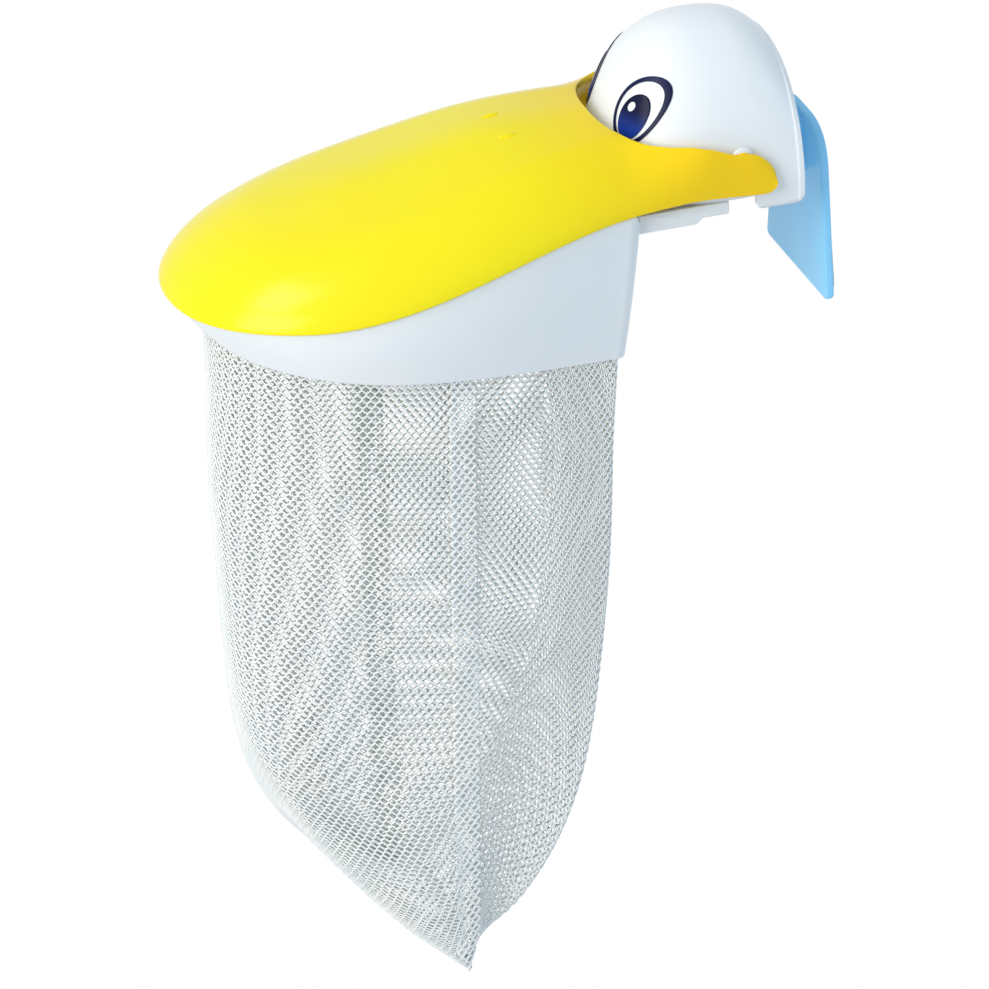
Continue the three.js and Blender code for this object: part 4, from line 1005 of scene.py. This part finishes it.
class ORGANIZER_OT_bag(Operator):
    """Adds the net bag: a front and a rear panel of knitted net, doubled along the side seams"""

    bl_idname = "organizer.add_bag"
    bl_label = "Add Net Bag"

    def execute(self, context):
        scene = context.scene
        lid, jaw, bag = scene.organizer_lid, scene.organizer_jaw, scene.organizer_bag
        net = finishes()["net_thread"]
        shares = 1 - (1 - np.linspace(0, 1, BAG_RINGS)) ** RING_CROWDING
        rings = bag_rings(lid, jaw, bag, shares)
        x, away = rings[0, :, 0], rings[0, :, 1] - bag.seam_top
        panels = {
            "front": self.panel(rings, away <= 0, np.arctan2(x, -away)),
            "rear": self.panel(rings, away > 0, np.arctan2(-x, away)),
        }
        bands = (self.hem(rings[0]), self.binding(rings[-1]))
        trim = [place(band, "pelican", "net_white", net) for band in bands]
        for side, word in SIDES:
            seam = self.seam(rings, bag, side, f"net_seam_{word}")
            trim.append(place(seam, "pelican", "net_white", net, f"bag_seam_{word}"))
        for word, grid in panels.items():
            sizes, lattice = self.lattice(self.folded(grid, bag), bag)
            made = add_mesh(f"net_{word}", *self.strands(*lattice, bag), closed=False)
            place(made, "pelican", "net_white", net, "net_bag")
            pieces = trim if word == "front" else []
        return {"FINISHED"}

    def panel(self, rings, chosen, angle):
        """The chosen points of each ring, in the order of their angle round the bag."""
        order = np.argsort(np.where(chosen, angle, np.inf))
        return rings[:, order[: chosen.sum()]]

    def seam(self, rings, bag, side, name):
        """A second layer of net along a side seam, over the rings' points near the seam, moved out by twice
        a strand's thickness."""
        x, away = rings[0, :, 0], rings[0, :, 1] - bag.seam_top
        middle = int(np.argmin(np.where(x * side > 0, np.abs(away), np.inf)))
        grid = rings[:, middle - SEAM_REACH : middle + SEAM_REACH + 1]
        grid = grid + self.normals(grid) * 2 * bag.strand_thick
        lattice = self.lattice(grid, bag, bag.seam_width / 2, bag.row / 2)[1]
        return add_mesh(name, *self.strands(*lattice, bag, SEAM_STRAND), closed=False)

    def binding(self, ring):
        """The bottom seam: a small oval carried along the line on which front and rear panel meet, and
        closed at both ends by a steep root."""
        steps, turn = 60, full_turn(14)
        line = ring[np.argsort(ring[:, 0])]
        x = np.linspace(line[0, 0], line[-1, 0], steps)
        y, z = (np.interp(x, line[:, 0], line[:, k]) for k in (1, 2))
        size = np.sqrt(np.maximum(0, 1 - np.abs(np.linspace(-1, 1, steps)) ** BINDING_END_POWER))[:, None]
        deep = y.mean() + BINDING_DEEP * size * np.cos(turn)
        points = stack(x[:, None], deep, z[:, None] + BINDING_HIGH * size * np.sin(turn))
        return add_grid("bag_binding", points, wrap_columns=True)

    def hem(self, ring):
        """The bag's turned hem: the top ring carried up inside the jaw's foot as a thin band."""
        outer = ring[:, :2]
        inner = drawn_in(outer, HEM_THICK)
        section = ((outer, HEM_LOW), (outer, HEM_HIGH), (inner, HEM_HIGH), (inner, HEM_LOW))
        rows = [np.column_stack([plan, ring[:, 2] + rise]) for plan, rise in section]
        loops = round_corners(np.stack(rows, axis=1), range(len(rows)), HEM_ROUND)
        return add_grid("bag_hem", loops, wrap_rows=True, wrap_columns=True)

    def folded(self, grid, bag):
        """The panel with soft folds: a sum of sine waves along the normal, which grows with the drop and
        fades towards the foot and the side seams."""
        drop = np.linspace(0, 1, grid.shape[0])[:, None]
        across = np.linspace(-1, 1, grid.shape[1])[None]
        wave = sum(high * np.sin(a * across + d * drop + start) for high, a, d, start in FOLD_WAVES)
        calm = ease(0, FOLD_GROWN, drop) * (1 - ease(FOLD_FADES, 1, drop)) * (1 - across**FOLD_EDGE_POWER)
        return grid + self.normals(grid) * (bag.fold / 2 * wave * calm)[..., None]

    def normals(self, grid):
        """Unit normals of a grid, pointing away from the bag's middle."""
        normal = unit(np.cross(np.gradient(grid, axis=0), np.gradient(grid, axis=1)))
        middle = [0, BAG_MIDDLE, grid[..., 2].mean()]
        return normal * np.sign(np.sum(normal * (grid - middle)))

    def lattice(self, grid, bag, limit=None, shift=0.0):
        """A honeycomb of strands laid over the panel at its true size: rows by the distance down the
        middle line, columns by the distance across from it. Returns the flat sizes as (width, length,
        area), and the net as (points, normals, pairs of points)."""
        rows, columns = grid.shape[:2]
        middle = columns // 2
        down = np.concatenate([[0], np.cumsum(np.linalg.norm(np.diff(grid[:, middle], axis=0), axis=-1))])
        across = np.cumsum(np.linalg.norm(np.diff(grid, axis=1, prepend=grid[:, :1]), axis=-1), axis=1)
        across -= across[:, middle : middle + 1]
        half = limit or float(np.abs(across).max())
        step = bag.pitch / 2
        count_x, count_y = int(half / step) + 1, int(down[-1] / bag.row) + 1
        i, j = np.meshgrid(np.arange(-count_x, count_x + 1), np.arange(count_y + 1), indexing="xy")
        short = UPRIGHT_SHARE * bag.row
        zigzag = np.where((i + j) % 2 == 0, 1, -1) * (bag.row - short) / 2
        x, y = i * step, np.clip(j * bag.row + zigzag + shift, 0, down[-1])
        row = np.interp(y, down, np.arange(rows))
        table = np.stack([np.interp(x[0], line, np.arange(columns), left=-1, right=-1) for line in across])
        low = np.minimum(row.astype(int), rows - 2)
        column = table[low, np.arange(x.shape[1])[None]]
        inside = (column >= 0) & (np.abs(x) <= half)
        points = self.sample(grid, row, np.maximum(column, 0))
        normals = unit(self.sample(self.normals(grid), row, np.maximum(column, 0)))
        number = np.arange(i.size).reshape(i.shape)
        slanted = np.stack([number[:, :-1], number[:, 1:]], axis=-1)[inside[:, :-1] & inside[:, 1:]]
        upright = ((i + j) % 2 == 0)[:-1] & inside[:-1] & inside[1:]
        straight = np.stack([number[:-1], number[1:]], axis=-1)[upright]
        widths = across[:, -1] - across[:, 0]
        area = float(np.sum((widths[1:] + widths[:-1]) / 2 * np.diff(down)))
        sizes = (2 * half, float(down[-1]), area)
        return sizes, (points.reshape(-1, 3), normals.reshape(-1, 3), np.concatenate([slanted, straight]))

    def sample(self, grid, row, column):
        """The grid's value between its points, by shares of the four around a place."""
        r0 = np.clip(row.astype(int), 0, grid.shape[0] - 2)
        c0 = np.clip(column.astype(int), 0, grid.shape[1] - 2)
        fr, fc = (row - r0)[..., None], (column - c0)[..., None]
        top = lerp(grid[r0, c0], grid[r0, c0 + 1], fc)
        return lerp(top, lerp(grid[r0 + 1, c0], grid[r0 + 1, c0 + 1], fc), fr)

    def strands(self, points, normals, pairs, bag, wider=1.0):
        """Three-sided strands along pairs of points, each a little longer than the distance of its points,
        with a flat inner side."""
        start, end = points[pairs[:, 0]], points[pairs[:, 1]]
        along = unit(end - start)
        normal = unit(normals[pairs[:, 0]] + normals[pairs[:, 1]])
        side = unit(np.cross(normal, along)) * bag.strand * wider / 2
        up = unit(np.cross(along, side)) * bag.strand_thick / 2
        more = along * bag.strand * STRAND_OVERLAP
        ring = [side - up, up, -side - up]
        corners = np.stack([base + part for base in (start - more, end + more) for part in ring], axis=1)
        k, sides = np.arange(len(ring)), len(ring)
        pattern = np.stack([k, (k + 1) % sides, (k + 1) % sides + sides, k + sides], axis=1)
        quads = (np.arange(len(pairs)) * 2 * sides)[:, None, None] + pattern
        return corners.reshape(-1, 3), quads.reshape(-1, 4)


class ORGANIZER_OT_bracket(Operator):
    """Adds the wall bracket's plate with its rail"""

    bl_idname = "organizer.add_bracket"
    bl_label = "Add Wall Bracket"

    def execute(self, context):
        s = context.scene.organizer_bracket
        blue = finishes()["bracket_plastic"]
        place(self.plate(s), "wall_mount", "bracket_blue", blue, "wall_bracket")
        front, back = BRACKET_LOW[1], BRACKET_LOW[1] + RAIL_THICK
        plate_front = BRACKET_HIGH[1] - s.thick
        head = rectangle(front, back, RAIL_FOOT, BRACKET_HIGH[2])
        neck = rectangle(back - NECK_JOINT, plate_front + NECK_JOINT, RAIL_FOOT, NECK_TOP)
        for name, outline, half in (("rail_head", head, RAIL_HALF), ("rail_neck", neck, NECK_HALF)):
            place(add_slab(name, outline, -half, half), "wall_mount", "bracket_blue", blue)
        return {"FINISHED"}

    def plate(self, s):
        """The plate: its outline, drawn in round both edges by quarter circles and closed to the middle
        of each face."""
        turn = quarter(7)
        depth = s.edge_round * (1 - np.cos(turn))
        inset = s.edge_round * (1 - np.sin(turn))
        back, front = BRACKET_HIGH[1], BRACKET_HIGH[1] - s.thick
        rows = [self.outline(s, draw, back - deep) for draw, deep in zip(inset, depth)]
        rows += [self.outline(s, draw, front + deep) for draw, deep in zip(inset[::-1], depth[::-1])]
        middles = [np.broadcast_to(row.mean(axis=0), row.shape) for row in (rows[0], rows[-1])]
        return add_grid("bracket_plate", np.stack([middles[0], *rows, middles[1]]), wrap_columns=True)

    def outline(self, s, inset, y, foot_steps=10, top_steps=14):
        """The plate's outline at y: a trapezoid, wider at its foot, with corners rounded by parabolas."""
        low = BRACKET_LOW[2] + inset
        high = low + PLATE_HEIGHT - 2 * inset
        top, foot = s.top_half - inset, s.bottom_half - inset
        corners = np.array([[(-foot, y, low), (foot, y, low), (top, y, high), (-top, y, high)]])
        loop = round_corners(corners, (0, 1), PLATE_FOOT_ROUND - inset, foot_steps)
        first = 2 * (foot_steps + 1)
        return round_corners(loop, (first, first + 1), PLATE_TOP_ROUND - inset, top_steps)[0]


class ORGANIZER_OT_fittings(Operator):
    """Gives the pad, the cover, the hoop and the screws their finishes"""

    bl_idname = "organizer.finish_fittings"
    bl_label = "Finish Small Parts"

    def execute(self, context):
        made = finishes()
        kinds = {
            "adhesive_pad": "tape_foam",
            "head_back_cover": "shell_plastic",
            "bag_hoop": "shell_plastic",
        }
        for name, node in frame["nodes"].items():
            kind = "turned_steel" if "screw" in name else kinds.get(name)
            if kind:
                node.data.materials.clear()
                node.data.materials.append(made[kind])
        return {"FINISHED"}


class ORGANIZER_OT_stage(Operator):
    """Adds the floor, the lamps, the white surroundings and the camera"""

    bl_idname = "organizer.add_stage"
    bl_label = "Add Stage"

    def execute(self, context):
        scene, s = context.scene, context.scene.organizer_stage
        scene.view_settings.view_transform = "Standard"
        self.floor(s)
        scene.world = self.surroundings()
        for name, (offset, size, watts, colour) in LAMPS.items():
            light = bpy.data.lights.new(name, "AREA")
            light.size, light.energy, light.color = size, watts * s.light, colour
            self.facing(name, light, STAGE_MIDDLE, Vector(offset))
        scene.camera = self.camera(s)
        return {"FINISHED"}

    def facing(self, name, data, target, offset):
        """A lamp or a camera at an offset from a target that it faces."""
        made = add_object(name, data)
        made.location = target + offset
        made.rotation_euler = (-offset).to_track_quat("-Z", "Y").to_euler()
        return made

    def floor(self, s):
        """A square floor below the bag."""
        corners = np.array([(-1, -1, 0), (1, -1, 0), (1, 1, 0), (-1, 1, 0)]) * FLOOR_REACH
        mesh = bpy.data.meshes.new("floor")
        mesh.from_pydata(corners.tolist(), [], [(0, 1, 2, 3)])
        mesh.materials.append(floor_paint("floor_paint"))
        made = add_object("floor", mesh)
        made.location = (*STAGE_MIDDLE.xy, CAD_BOX[0][2] - s.floor_drop)

    def surroundings(self):
        """White to the camera, and a soft pale blue light from all round for everything else."""
        world = bpy.data.worlds.new("studio")
        world.use_nodes = True
        maker = Wire(world.node_tree)
        fill = maker.node("ShaderNodeBackground", Color=FILL_COLOUR, Strength=FILL_LEVEL)
        white = maker.node("ShaderNodeBackground", Color=WHITE, Strength=1.0)
        seen = seen_by_camera(maker).at_most(1.0)
        both = maker.node("ShaderNodeMixShader", in0=seen, in1=fill, in2=white)
        both.feed(world.node_tree.nodes["World Output"], "Surface")
        return world

    def camera(self, s):
        """A long lens at the photograph's angle, with the hinge's middle at its place in the frame."""
        level, rise = math.cos(PHOTO_ELEVATION), math.sin(PHOTO_ELEVATION)
        back = Vector((math.sin(PHOTO_AZIMUTH) * level, -math.cos(PHOTO_AZIMUTH) * level, rise))
        right = Vector((math.cos(PHOTO_AZIMUTH), math.sin(PHOTO_AZIMUTH), 0))
        up = back.cross(right)
        across, down = ((pixel - PHOTO_SIZE / 2) / PHOTO_SCALE for pixel in HINGE_PIXEL)
        target = Vector(PIVOT) - right * across + up * down
        data = bpy.data.cameras.new("camera")
        data.sensor_width = SENSOR_WIDTH
        data.lens = SENSOR_WIDTH * PHOTO_SCALE * s.distance / PHOTO_SIZE
        data.clip_end = CLIP_END
        return self.facing("camera", data, target, back * s.distance)


OPERATORS = (
    ORGANIZER_OT_lid,
    ORGANIZER_OT_head,
    ORGANIZER_OT_eyes,
    ORGANIZER_OT_jaw,
    ORGANIZER_OT_bag,
    ORGANIZER_OT_bracket,
    ORGANIZER_OT_fittings,
    ORGANIZER_OT_stage,
)


class ORGANIZER_PT_panel(Panel):
    """Sizes, colours and pieces of the organizer"""

    bl_idname = "ORGANIZER_PT_panel"
    bl_label = "Bath Toy Organizer"
    bl_space_type = "VIEW_3D"
    bl_region_type = "UI"
    bl_category = "Organizer"

    def draw(self, context):
        for name, group in GROUPS.items():
            box = self.layout.box()
            for key in group.__annotations__:
                box.prop(getattr(context.scene, name), key)
        for kind in OPERATORS:
            self.layout.operator(kind.bl_idname)


def register():
    """Registers the classes, and hangs the sizes on the scene."""
    for kind in (*GROUPS.values(), *OPERATORS, ORGANIZER_PT_panel):
        bpy.utils.register_class(kind)
    for name, group in GROUPS.items():
        setattr(bpy.types.Scene, name, PointerProperty(type=group))


def unregister():
    """Takes the sizes and the classes away again."""
    for name in GROUPS:
        delattr(bpy.types.Scene, name)
    for kind in (ORGANIZER_PT_panel, *reversed(OPERATORS), *reversed(GROUPS.values())):
        bpy.utils.unregister_class(kind)


def main():
    """Builds every piece and the stage."""
    register()
    bpy.ops.organizer.add_lid()
    bpy.ops.organizer.add_head()
    bpy.ops.organizer.add_eyes()
    bpy.ops.organizer.add_jaw()
    bpy.ops.organizer.add_bag()
    bpy.ops.organizer.add_bracket()
    bpy.ops.organizer.finish_fittings()
    bpy.ops.organizer.add_stage()


if __name__ == "__main__":
    main()
